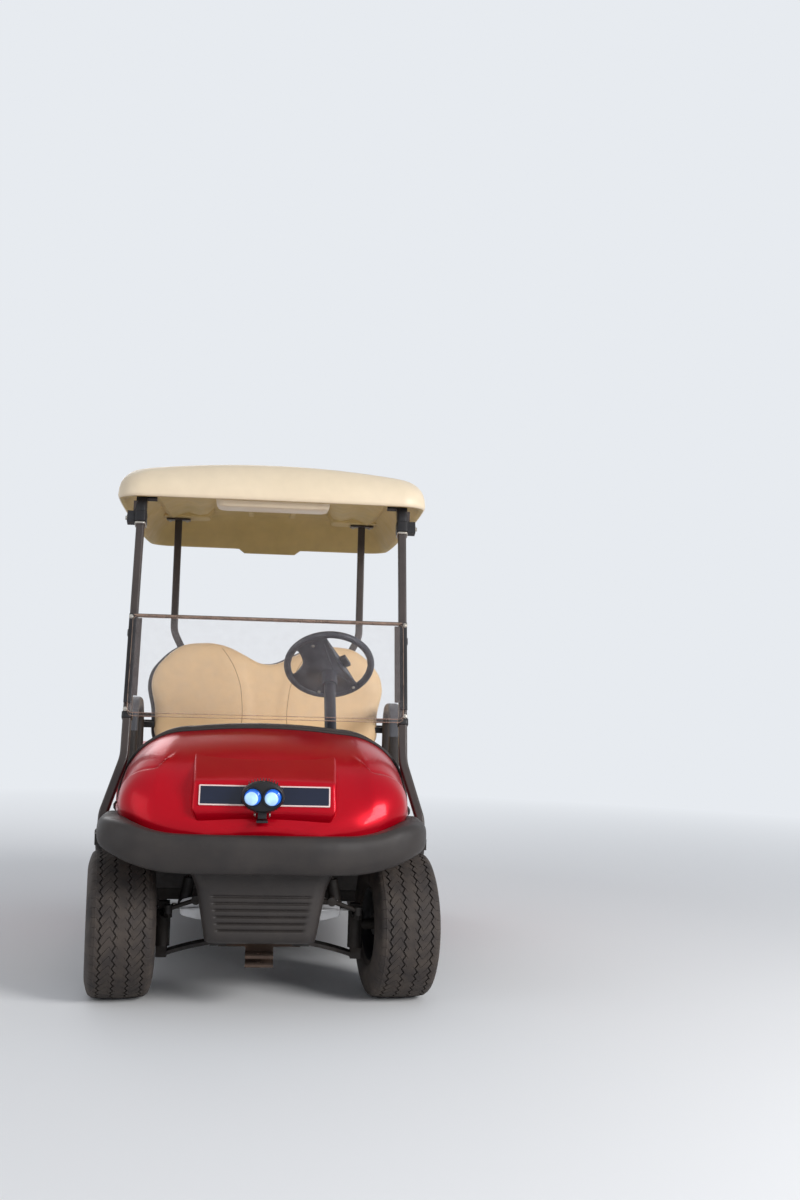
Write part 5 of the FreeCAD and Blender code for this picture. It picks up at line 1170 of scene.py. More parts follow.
@dataclass
class Fascia:
    """The ribbed tapered panel under the bumper."""

    top_half: float = 0.205
    bottom_half: float = 0.165
    low: float = 0.213
    high: float = 0.436
    front: float = -1.072
    back: float = -0.984
    grooves: int = 6
    first_groove: float = 0.043
    groove_step: float = 0.0200
    wall: float = 0.005

    def build(self) -> None:
        """Makes the panel: crowned face with grooves, rounded edges and side walls."""
        columns, rows = 70, 110
        grid = []
        for r in range(rows + 1):
            z = mix(self.low, self.high, r / rows)
            half = mix(self.bottom_half, self.top_half, r / rows) + 0.013 * smoothstep(0.365, 0.436, z)
            grid.append([self._face(c / columns * 2 - 1, half, z) for c in range(columns + 1)])
        shape = Shape().rings(grid, False)
        edge = [*grid[0], *(row[-1] for row in grid[1:]), *reversed(grid[-1][:-1]), *(row[0] for row in grid[-2:0:-1])]
        back = [Vector((p.x * 0.985, self.back, p.z)) for p in edge]
        shape.rings([edge, [p.lerp(b, 0.5) for p, b in zip(edge, back)], back])
        make("front_panel", shape, BLACK, ["front_fascia"], 60, wall=self.wall)

    def _face(self, u: float, half: float, z: float) -> Vector:
        """A point of the panel's face.

        Args:
            u: its share of the half width, from -1 to 1.
            half: the panel's half width there.
            z: its height.

        Returns:
            The point.
        """
        to_side = (1 - abs(u)) * half
        round_off = 0.0
        for distance, radius in ((to_side, 0.042), (z - self.low, 0.030)):
            if distance < radius:
                round_off += radius - math.sqrt(max(0.0, radius ** 2 - (radius - distance) ** 2))
        y = self.front + 0.004 * u * u + min(round_off, 0.060)
        inside = smoothstep(0.038, 0.049, to_side)
        for n in range(self.grooves):
            level = self.low + self.first_groove + n * self.groove_step
            y += 0.0064 * inside * math.exp(-((z - level) / 0.0032) ** 2)
        y += 0.008 * smoothstep(self.high - 0.006, self.high, z)
        return Vector((u * half, max(y, self.front), z))


@dataclass
class Roof:
    """The cream roof: crowned top with sloping shoulders, hollow underside with wedge-shaped bosses."""

    front: float = -0.470
    length: float = 1.500
    half: float = 0.548
    crown: float = 1.765
    depth: float = 0.178
    rise: float = 0.032
    arch: float = 0.032
    shoulder: float = 0.074
    wall: float = 0.022
    ceiling: float = 0.024
    boss: Point = (0.395, 0.720, 1.680)
    drops: Table = (
        (0.0, 0.030), (0.035, 0.014), (0.12, 0.004), (0.45, 0.0), (0.90, 0.012), (0.975, 0.028), (1.0, 0.050))

    def share(self, y: float) -> float:
        """How far along the roof a place is, from 0 at the front lip to 1 at the rear."""
        return (y - self.front) / self.length

    def top(self, x: float, y: float) -> float:
        """Height of the crowned top."""
        side = min(1.0, abs(x) / (self.half - self.shoulder))
        return self.crown - pchip(self.drops, self.share(y)) - self.arch * side ** 2

    def rim(self, y: float) -> float:
        """Height of the lower edge, which falls towards the rear."""
        return self.crown - self.depth + self.rise * (1 - self.share(y))

    def outline(self, inset: float) -> list[Vector]:
        """The plan of the roof: nearly straight sides and round corners.

        Args:
            inset: how far it is moved inwards.

        Returns:
            Its points, at no height.
        """
        middle = self.front + self.length / 2
        a, b = self.half - inset, self.length / 2 - inset
        radius = max(0.02, 0.085 - inset * 0.5)
        arc, straight = 35, 35
        corners = [(x * (a - radius), middle + y * (b - radius)) for x, y in ((1, 1), (-1, 1), (-1, -1), (1, -1))]
        out = []
        for i, (cx, cy) in enumerate(corners):
            for n in range(arc + 1):
                t = math.pi / 2 * (i + n / arc)
                out.append(Vector((cx + radius * math.cos(t), cy + radius * math.sin(t), 0)))
            nx, ny = corners[(i + 1) % 4]
            t = math.pi / 2 * (i + 1)
            end = Vector((nx + radius * math.cos(t), ny + radius * math.sin(t), 0))
            start = out[-1]
            out += [start.lerp(end, n / straight) for n in range(1, straight)]
        for p in out:
            far = abs(p.y - middle) / (self.length / 2)
            p.x *= 1 - (0.024 if p.y < middle else 0.040) * far ** 4
            p.y += 0.008 * (1 - (p.x / a) ** 2) * (-1 if p.y < middle else 1) * smoothstep(0.6, 1.0, far)
        return out

    def tab(self, p: Vector) -> float:
        """How far the rim hangs lower in the middle of the rear edge."""
        rear = smoothstep(self.front + self.length - 0.10, self.front + self.length - 0.05, p.y)
        return 0.020 * rear * (1 - smoothstep(0.112, 0.142, abs(p.x)))

    def build(self) -> None:
        """Makes the roof moulding: the hollow inside first, then the rim and the top."""
        rings: list[list[Vector]] = []

        def lay(inset: float, height: Callable[[Vector], float]) -> None:
            """Adds the plan as a ring.

            Args:
                inset: how far it is moved inwards.
                height: gives the height of each of its points.
            """
            ring = self.outline(inset)
            for p in ring:
                p.z = height(p)
            rings.append(ring)

        def edge(p: Vector) -> float:
            """Height of the lower edge at a point."""
            return self.rim(p.y) - self.tab(p)

        for inset in (0.44, 0.36, 0.28, 0.21, 0.15):
            lay(inset, lambda p: self.top(p.x, p.y) - self.ceiling - 0.004)
        lay(0.112, lambda p: self.top(p.x, p.y) - self.ceiling - 0.008)
        lay(0.085, lambda p: self.top(p.x, p.y) - self.ceiling - 0.026)
        lay(0.055, lambda p: mix(edge(p), self.top(p.x, p.y) - self.ceiling, 0.45))
        lay(self.wall + 0.006, lambda p: edge(p) + 0.004)
        lay(self.wall, edge)
        lay(0.007, edge)
        inside = len(rings)
        lay(0.005, lambda p: edge(p) + 0.0008)
        lay(0.002, lambda p: edge(p) + 0.003)
        lay(0.0, lambda p: mix(edge(p), self.top(p.x, p.y), 0.12))
        for inset, up in ((0.003, 0.36), (0.008, 0.52), (0.016, 0.66), (0.028, 0.785), (0.042, 0.885),
                          (0.056, 0.955), (0.070, 0.99)):
            lay(inset, lambda p, up=up: mix(self.rim(p.y), self.top(p.x, p.y), up))
        for inset in (0.085, 0.11, 0.15, 0.20, 0.26, 0.33, 0.40, 0.46, 0.51):
            lay(inset, lambda p: self.top(p.x, p.y))
        # The rings of the hollow inside take the underside's painted shade.
        shape = Shape().rings(rings[:inside], tag=1).rings(rings[inside - 1:])
        self._close(shape, rings[0], 1)
        self._close(shape, rings[-1], 0)
        make("roof_moulding", shape, (CREAM, UNDERSIDE_PAINTED_SHADE), ["roof"], 60)
        self._underside()

    @staticmethod
    def _close(shape: Shape, ring: list[Vector], tag: int) -> None:
        """Fills a long ring with a strip of quads across its middle.

        Args:
            shape: takes the faces.
            ring: the ring.
            tag: number of the finish.
        """
        count = len(ring)
        start = -(count // 8)
        order = [((start + k) % count, (start - 1 - k) % count) for k in range(count // 2)]
        shape.add(ring, [(a, c, d, b) for (a, b), (c, d) in zip(order, order[1:])], tag)

    def _underside(self) -> None:
        """Bosses over the rear posts with wedges in front, the header panel and the ribs."""
        shape = Shape()
        for side in Side:
            self._boss(shape, side.value)
        shape.stack(rounded_box_section(0.396, 0.150, 0.030, 8),
                    [(1.601, 0.93), (1.604, 0.975), (1.612, 1.0), (1.690, 1.04)], (0.0, -0.350), 1)
        for x in (-0.086, 0.092):
            ceiling = self.top(x, 0.56) - self.ceiling
            shape.stack(rounded_box_section(0.024, 0.42, 0.011, 4),
                        [(ceiling - down, k) for down, k in ((0.036, 0.75), (0.031, 1.0), (-0.004, 1.10))], (x, 0.56))
        # The bosses, wedges and ribs take the underside's painted shade; the header panel keeps the cream.
        make("roof_underside", shape, (UNDERSIDE_PAINTED_SHADE, CREAM), angle=40)

    def _boss(self, shape: Shape, side: int) -> None:
        """A rounded pad for a post's flange, and two creased wedges that rise to the front.

        Args:
            shape: takes the faces.
            side: the sign of X.
        """
        x, y, foot = self.boss
        plan = rounded_box_section(0.200, 0.160, 0.035, 6)
        levels = [(foot, 0.92), (foot + 0.003, 0.98), (foot + 0.010, 1.0), (foot + 0.020, 1.06), (foot + 0.040, 1.16)]
        shape.solid([[(side * (x - 0.035 + px * k), y + py * k, min(z, self.top(x, y) - 0.012)) for px, py in plan]
                     for z, k in levels])
        # Across the boss from its outer to its inner side: distance from the middle and depth below the ceiling,
        # at the pad and where the wedges run out behind the front post.
        near = ((x + 0.078, 0.004), (x + 0.052, 0.014), (x + 0.020, 0.034), (x - 0.020, 0.024), (x - 0.045, 0.020),
                (x - 0.092, 0.034), (x - 0.124, 0.030), (x - 0.150, 0.004))
        far = ((x + 0.095, 0.002), (x + 0.080, 0.006), (x + 0.050, 0.026), (x + 0.005, 0.006), (x - 0.060, 0.004),
               (x - 0.130, 0.028), (x - 0.190, 0.008), (x - 0.215, 0.002))
        rings = []
        for n in range(13):
            t = n / 12
            along = mix(y - 0.055, -0.200, t)
            row = []
            for (x0, d0), (x1, d1) in zip(near, far):
                across = mix(x0, x1, t)
                below = mix(d0, d1, t ** 0.85) * (1 if n < 12 else 0)
                row.append(Vector((side * across, along, self.top(across, along) - self.ceiling - 0.002 - below)))
            rings.append(row)
        shape.rings(rings, False)
        root = [Vector((p.x, p.y + 0.002, self.top(p.x, p.y) - self.ceiling + 0.006)) for p in rings[0]]
        shape.rings([root, rings[0]], False)


@dataclass
class Windshield:
    """Two clear panels, the upper one folded down in front, with its hinge strip, channels and screws."""

    half: float = 0.456
    tall: float = 0.345
    thick: float = 0.005
    # How far the folded panel lies in front of the other, and how much shorter it is.
    apart: float = 0.012
    shorter: float = 0.008

    def build(self) -> None:
        """Makes both panels and dresses the channels."""
        low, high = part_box("windshield_lower")
        slope = math.atan2(high.y - low.y - self.thick, high.z - low.z)
        up = Vector((0, math.sin(slope), math.cos(slope)))
        out = Vector((0, -math.cos(slope), math.sin(slope)))
        start = Vector((0, low.y, low.z + self.thick * math.sin(slope)))
        self._pane("windshield_lower_pane", start, up, out, 0.0, "windshield_lower")
        self._pane("windshield_upper_pane", start + out * self.apart, up, out, self.shorter, "windshield_upper")
        dress("windshield_channels", STEEL, 0.001)
        self._hinge(start + up * (self.tall + 0.002), up, out)

    def _pane(self, name: str, start: Vector, up: Vector, out: Vector, rise: float, node: str) -> None:
        """One panel with rounded corners and a darker rim.

        Args:
            name: its name.
            start: the middle of the panels' lower edge.
            up: the way up along the panel.
            out: the way towards the front.
            rise: how much higher than the start its own lower edge is.
            node: the node that it stands for.
        """
        place = stand(start + up * ((self.tall + rise) / 2), up, out)
        tall = self.tall - rise
        outer = rounded_box_section(self.half * 2, tall, 0.018, 6)
        inner = rounded_box_section(self.half * 2 - 0.003, tall - 0.003, 0.0165, 6)
        loops = [(inner, 0.0), (outer, 0.0), (outer, -self.thick), (inner, -self.thick)]
        rings = [[place @ Vector((x, y, z)) for x, y in loop] for loop, z in loops]
        shape = Shape().rings(rings, tag=1)
        for ring in (rings[0], rings[-1]):
            shape.add(ring, [range(len(ring))])
        make(name, shape, (PANEL, PANEL_EDGE), [node], 40)

    def _hinge(self, at: Vector, up: Vector, out: Vector) -> None:
        """The flexible strip that joins the panels along the fold.

        Args:
            at: the middle of the fold.
            up: the way up along the panels.
            out: the way towards the front.
        """
        rings = []
        for n in range(13):
            a = math.pi * n / 12
            rings.append([at + out * (0.0035 + 0.0095 * math.cos(a)) + up * (0.006 * math.sin(a)) + Vector((x, 0, 0))
                          for x in (-self.half + 0.004, -0.15, 0.15, self.half - 0.004)])
        shape = Shape().rings(rings, False).rings([[p - up * 0.0016 for p in ring] for ring in rings], False)
        make("windshield_hinge", shape, PANEL_EDGE, angle=60)


@dataclass
class Posts:
    """Roof posts with their clamps, screws and the sleeve at each front post's foot."""

    # Ends of a front post's middle line, and the underside of a rear post's flange, on the left.
    foot: Point = (0.456, -0.6655, 0.736)
    head: Point = (0.456, -0.378, 1.657)
    flange: Point = (0.395, 0.720, 1.6705)
    # Where a collar round a front post starts and ends, how thick it is, and the number of its finish.
    collars: Table = ((1.528, 1.640, 1.02, 0), (1.528, 1.566, 1.16, 0), (1.519, 1.527, 1.08, 1),
                      (1.130, 1.152, 0.95, 0), (0.858, 0.880, 0.95, 0))

    def build(self) -> None:
        """Dresses the posts and adds what is fastened to them."""
        dress("front_posts", STEEL, 0.0012)
        dress("rear_posts", STEEL, 0.0012)
        for side in Side:
            self._front(side)
            self._rear(side)

    def _front(self, side: Side) -> None:
        """Roof clamp, latch block, screws and channel on one front post.

        Args:
            side: the post's side.
        """
        s = side.value
        mirror = Vector((s, 1, 1))
        low, high = Vector(self.foot) * mirror, Vector(self.head) * mirror
        way = (high - low).normalized()
        place = stand((0, 0, 0), way.cross(Vector((1, 0, 0))), way)
        ring = rounded_box_section(0.036, 0.046, 0.009, 4)
        shape = Shape()

        def at(z: float) -> Matrix:
            """The post's middle at a height, its Z axis along the post."""
            return Matrix.Translation(low + way * ((z - low.z) / way.z)) @ place

        for bottom, top, grow, tag in self.collars:
            levels = [(bottom, 0.93), (bottom + 0.002, 1.0), (top - 0.002, 1.0), (top, 0.93)]
            shape.solid([[at(z) @ Vector((x * k * grow, y * k * grow, 0)) for x, y in ring] for z, k in levels], tag)
        shape.box((0.016 * s, -0.016, -0.020), (0.046 * s, 0.014, 0.022), at(1.546))
        shape.box((-0.052 * s, -0.010, 0.0), (-0.012 * s, 0.014, 0.012), at(1.616))
        shape.bolt(at(1.546) @ Vector((0.046 * s, 0, 0)), (s, 0, 0), 0.008, 0.006, 1)
        for z in (0.93, 0.885, 1.19):
            spot = at(z)
            front = spot @ Vector((0.006 * s, -0.0235 if z < 1 else -0.0315, 0))
            shape.bolt(front, spot.to_3x3() @ Vector((0, -1, 0)), 0.0052, 0.003, 1)
        make(f"front_post_fittings_{side.word}", shape, (LAMP, BOLT), angle=40, bevel=0.001)
        section = rounded_box_section(0.026, 0.008, 0.003)
        strip = Shape().solid([[at(mix(0.905, 1.200, n / 8)) @ Vector((x, y - 0.0275, 0)) for x, y in section]
                               for n in range(9)])
        make(f"windshield_retainer_{side.word}", strip, LAMP, angle=40)

    def _rear(self, side: Side) -> None:
        """Screws that hold a rear post's flange to the roof.

        Args:
            side: the post's side.
        """
        shape = Shape()
        out, back, level = self.flange
        for x in (-0.036, 0.036):
            for y in (-0.018, 0.018):
                shape.bolt((out * side.value + x, back + y, level), (0, 0, -1), 0.0055, 0.004)
        make(f"rear_post_screws_{side.word}", shape, BOLT)


@dataclass
class Wheel:
    """One wheel: a tyre with zig-zag grooves and a ten-spoke silver cover with its cap."""

    end: str
    side: Side
    radius: float = 0.2285
    half: float = 0.104
    seat: float = 0.102
    pitches: int = 48
    groove_depth: float = 0.0052
    groove_half: float = 0.0024
    sipe_depth: float = 0.0019
    swing: float = 0.0045
    # Distances from the cart's middle and from the origin backwards, and the angle at which the front wheels stand.
    rear_out: float = 0.489
    rear_back: float = 0.884
    front_out: float = 0.438
    front_back: float = -0.780
    kingpin_out: float = 0.305
    steered: float = 7.0
    grooves: tuple[float, ...] = (-0.0640, -0.0213, 0.0213, 0.0640)
    # Where the rings of the mesh lie within one pitch; the first is a sipe, those beside it are its edges.
    phases: tuple[float, ...] = (0.0, 0.036, 0.25, 0.5, 0.75, 0.964)
    # From the groove on the left to the next: share of the way, lag of the sipe in pitches, share of its depth.
    vee: Table = (
        (0.08, 0.04, 1.0), (0.20, 0.24, 1.0), (0.32, 0.44, 1.0), (0.44, 0.26, 1.0), (0.62, -0.02, 1.0),
        (0.80, -0.28, 1.0), (0.92, -0.44, 1.0),
    )
    ticks: Table = (
        (0.08, 0.05, 1.0), (0.20, 0.22, 1.0), (0.30, 0.34, 0.2), (0.40, 0.20, 0.0), (0.60, -0.70, 0.0),
        (0.70, -0.84, 0.2), (0.80, -0.72, 1.0), (0.92, -0.55, 1.0),
    )

    def place(self) -> Matrix:
        """The wheel's middle, with +X along the axle towards the outside face.

        Returns:
            The place.
        """
        s = self.side.value
        mirror = Matrix.Diagonal((s, 1, 1, 1))
        if self.end == "rear":
            return Matrix.Translation((self.rear_out * s, self.rear_back, self.radius)) @ mirror
        pivot = Matrix.Translation((self.kingpin_out * s, self.front_back, 0))
        turn = pivot @ turned(self.steered, "Z") @ pivot.inverted()
        return turn @ Matrix.Translation((self.front_out * s, self.front_back, self.radius)) @ mirror

    def build(self) -> None:
        """Makes the tyre and the wheel cover."""
        where = f"{self.end}_{self.side.word}"
        place = self.place()
        make("tread_" + where, self._tyre(place), RUBBER, ["tyre_" + where], 32, body="wheel_" + where)
        make("cover_" + where, self._cover(place), (RIM, LAMP, BOLT), ["rim_" + where], 34, body="wheel_" + where)

    def _columns(self) -> list[tuple[float, float, float, float, float]]:
        """The columns of the mesh across the tread.

        Returns:
            For each: place, drop of the radius, share of the zig-zag, lag of the sipes, share of their depth.
        """
        half, deep = self.groove_half, self.groove_depth
        roof = tuple((1 - a, -0.5 - b, d) for a, b, d in reversed(self.vee))
        ribs = (roof, self.ticks, self.vee)
        shoulder = ((0.0690, 0.9, 0.10, 1.0), (0.0740, 0.5, 0.24, 0.6), (0.0790, 0.3, 0.36, 0.0))
        columns = [(-x, 0.0, swing, -0.5 - lag, cut) for x, swing, lag, cut in reversed(shoulder)]
        for n, middle in enumerate(self.grooves):
            columns += [(middle - half - 0.0008, 0.0, 1.0, -0.5, 0.0), (middle - half, deep, 1.0, -0.5, 0.0),
                        (middle + half, deep, 1.0, 0.0, 0.0), (middle + half + 0.0008, 0.0, 1.0, 0.0, 0.0)]
            if n < len(ribs):
                start, end = middle + half, self.grooves[n + 1] - half
                columns += [(mix(start, end, share), 0.0, abs(2 * share - 1) ** 1.5, lag, cut)
                            for share, lag, cut in ribs[n]]
        return columns + [(x, 0.0, swing, lag, cut) for x, swing, lag, cut in shoulder]

    def _wall(self) -> list[tuple[float, float]]:
        """The side of the tyre from the edge of the tread down to the bead.

        Returns:
            (place along the axle, radius) pairs.
        """
        drops = ((0.0805, 0.0058), (0.0830, 0.0066), (0.0880, 0.0100), (0.0915, 0.0140), (0.0940, 0.0195),
                 (0.0965, 0.026), (0.1005, 0.040), (0.1030, 0.052), (self.half, 0.062), (0.1035, 0.074),
                 (0.1010, 0.086), (0.0965, 0.097), (0.0935, 0.1000), (0.0920, 0.1010), (0.0900, 0.1040),
                 (0.0860, 0.1100))
        return [*((x, self.radius - drop) for x, drop in drops), (0.0800, self.seat + 0.004), (0.077, self.seat)]

    def _tyre(self, place: Matrix) -> Shape:
        """The tyre's skin: zig-zag grooves, slanting sipes between them, and notches on the shoulders.

        Args:
            place: the wheel's middle.

        Returns:
            The shape.
        """
        columns, wall = self._columns(), self._wall()
        world = self.side.value
        rings = []
        for n in range(self.pitches):
            for phase in self.phases:
                sipe = phase == 0.0
                notched = [(x, r - (0.0018 if sipe and 0.0800 < x < 0.0920 else 0.0)) for x, r in wall]
                ring = [self._point(place, -x * world, r, n + phase + columns[0][3]) for x, r in reversed(notched)]
                for x, drop, swing, lag, cut in columns:
                    turn = n + phase + lag
                    wave = 1 - 4 * abs((turn % 1.0) - 0.5)
                    radius = self.radius - 0.0042 * (x / 0.080) ** 2 - drop
                    radius -= self.sipe_depth * cut if sipe else 0.0
                    ring.append(self._point(place, (x - self.swing * wave * swing) * world, radius, turn))
                rings.append(ring + [self._point(place, x * world, r, n + phase + columns[-1][3]) for x, r in notched])
        inner = [[place @ Vector((x, self.seat * math.cos(a), self.seat * math.sin(a))) for x in (0.077, 0.0, -0.077)]
                 for a in turns(self.pitches * 2)]
        return Shape().rings([*rings, rings[0]], False).rings([*inner, inner[0]], False)

    def _point(self, place: Matrix, x: float, radius: float, turn: float) -> Vector:
        """A point of the tyre at a number of pitches round it."""
        a = 2 * math.pi * turn / self.pitches
        return place @ Vector((x, radius * math.cos(a), radius * math.sin(a)))

    def _cover(self, place: Matrix) -> Shape:
        """The rim barrel and the ten-spoke cover.

        Args:
            place: the wheel's middle.

        Returns:
            The shape.
        """
        shape = Shape()
        axle = place @ turned(90, "Y")
        barrel = [(0.046, -0.012), (0.088, -0.010), (0.091, 0.030), (0.0925, 0.058), (0.096, 0.064), (0.1015, 0.074),
                  (0.1030, 0.0800), (0.1120, 0.0840), (0.1138, 0.0866), (0.1128, 0.0890), (0.1095, 0.0886),
                  (0.1035, 0.0850), (0.1000, 0.0800), (0.0975, 0.0720)]
        shape.lathe(barrel, axle, 96)
        # The inside of the barrel takes the black finish: painted shade, on a rim that is silver inside too.
        inside = [(0.114, -0.089), (0.102, -0.078), (0.097, -0.060), (0.0925, 0.0), (0.0905, 0.028)]
        shape.lathe(inside, axle, 72, 1)
        shape.lathe([(0.0985, 0.0745), (0.0950, 0.0705), (0.0905, 0.0690)], axle, 96)
        for a in turns(10):
            self._spoke(shape, axle @ Matrix.Rotation(a, 4, "Z"))
        hub = [(0.052, 0.026), (0.0500, 0.0500), (0.0475, 0.0585), (0.0445, 0.0610), (0.0395, 0.0622), (0.0375, 0.0600),
               (0.0345, 0.0600), (0.0335, 0.0655), (0.0310, 0.0685), (0.0180, 0.0700), (0.0002, 0.0704)]
        shape.lathe(hub, axle, 60)
        return shape.lathe([(0.089, 0.018), (0.045, 0.016), (0.0002, 0.016)], axle, 40, 1)

    @staticmethod
    def _spoke(shape: Shape, axle: Matrix) -> None:
        """One raised spoke that widens towards the rim, with rounded shoulders.

        Args:
            shape: takes the faces.
            axle: the wheel's middle, turned so that the spoke lies along X.
        """
        rings = []
        for n in range(9):
            t = n / 8
            r = mix(0.045, 0.0955, t)
            width = mix(0.0105, 0.0150, t) + 0.006 * (2 * t - 1) ** 4
            top = mix(0.0600, 0.0700, smoothstep(0, 1, t)) - 0.0035 * math.sin(math.pi * t)
            rings.append([axle @ Vector((r, w * width, z)) for w, z in (
                (-1.0, top - 0.022), (-1.0, top - 0.004), (-0.86, top - 0.0012), (-0.4, top), (0.4, top),
                (0.86, top - 0.0012), (1.0, top - 0.004), (1.0, top - 0.022))])
        shape.solid(rings)


@dataclass
class Cushion:
    """A stuffed seat part: a flat shape that cloth pressure swells, with seams that a given pull sews in."""

    name: str
    body: str
    nodes: tuple[str, ...]
    swell: float = 0.014
    voxel: float = 0.009
    fill: float = 0.75
    pressure: float = 4.0
    frames: int = 20

    def inflate(self, shape: Shape, pull: Callable[[Vector, Vector], Vector]) -> bpy.types.Object:
        """Swells a closed shape by cloth pressure, holds each point near its start, and dresses it.

        Args:
            shape: the slack shape.
            pull: moves a swollen point, given its start, so that seams and flat backs stay.

        Returns:
            The cushion.
        """
        item = make(self.name, shape, VINYL, self.nodes, 60, body=self.body)
        world = item.matrix_world.copy()
        item.parent = None
        item.matrix_world = world
        self._apply(item, "REMESH", mode="VOXEL", voxel_size=self.voxel, use_smooth_shade=True)
        start = [v.co.copy() for v in item.data.vertices]
        self._cloth(item)
        for vertex, at in zip(item.data.vertices, start):
            shift = vertex.co - at
            if shift.length > self.swell:
                shift *= self.swell / shift.length
            vertex.co = pull(at + shift, at)
        self._apply(item, "CORRECTIVE_SMOOTH", factor=0.5, iterations=6, use_only_smooth=True)
        self._apply(item, "SUBSURF", levels=1)
        item.data.shade_smooth()
        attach(item, self.body)
        return item

    def _cloth(self, item: bpy.types.Object) -> None:
        """Runs the cloth simulation and keeps its result.

        Args:
            item: the slack cushion.
        """
        cloth = item.modifiers.new("cloth", "CLOTH")
        cloth.settings.use_pressure = True
        cloth.settings.uniform_pressure_force = self.pressure
        cloth.settings.quality = 5
        cloth.settings.mass = 0.3
        cloth.settings.effector_weights.gravity = 0.0
        cloth.point_cache.frame_start = 1
        cloth.point_cache.frame_end = self.frames
        scene = bpy.context.scene
        for number in range(1, self.frames + 1):
            scene.frame_set(number)
        solved = item.evaluated_get(bpy.context.evaluated_depsgraph_get())
        moved = [v.co.copy() for v in solved.data.vertices]
        item.modifiers.remove(cloth)
        for vertex, at in zip(item.data.vertices, moved):
            vertex.co = at
        scene.frame_set(1)

    @staticmethod
    def _apply(item: bpy.types.Object, kind: str, **values: object) -> None:
        """Adds a modifier, sets its values and applies it.

        Args:
            item: the cushion.
            kind: the modifier's type.
            values: its values by their names.
        """
        modifier = item.modifiers.new("step", kind)
        for key, value in values.items():
            setattr(modifier, key, value)
        solved = item.evaluated_get(bpy.context.evaluated_depsgraph_get())
        mesh = bpy.data.meshes.new_from_object(solved)
        item.modifiers.remove(modifier)
        old = item.data
        item.data = mesh
        bpy.data.meshes.remove(old)
        mesh.name = item.name


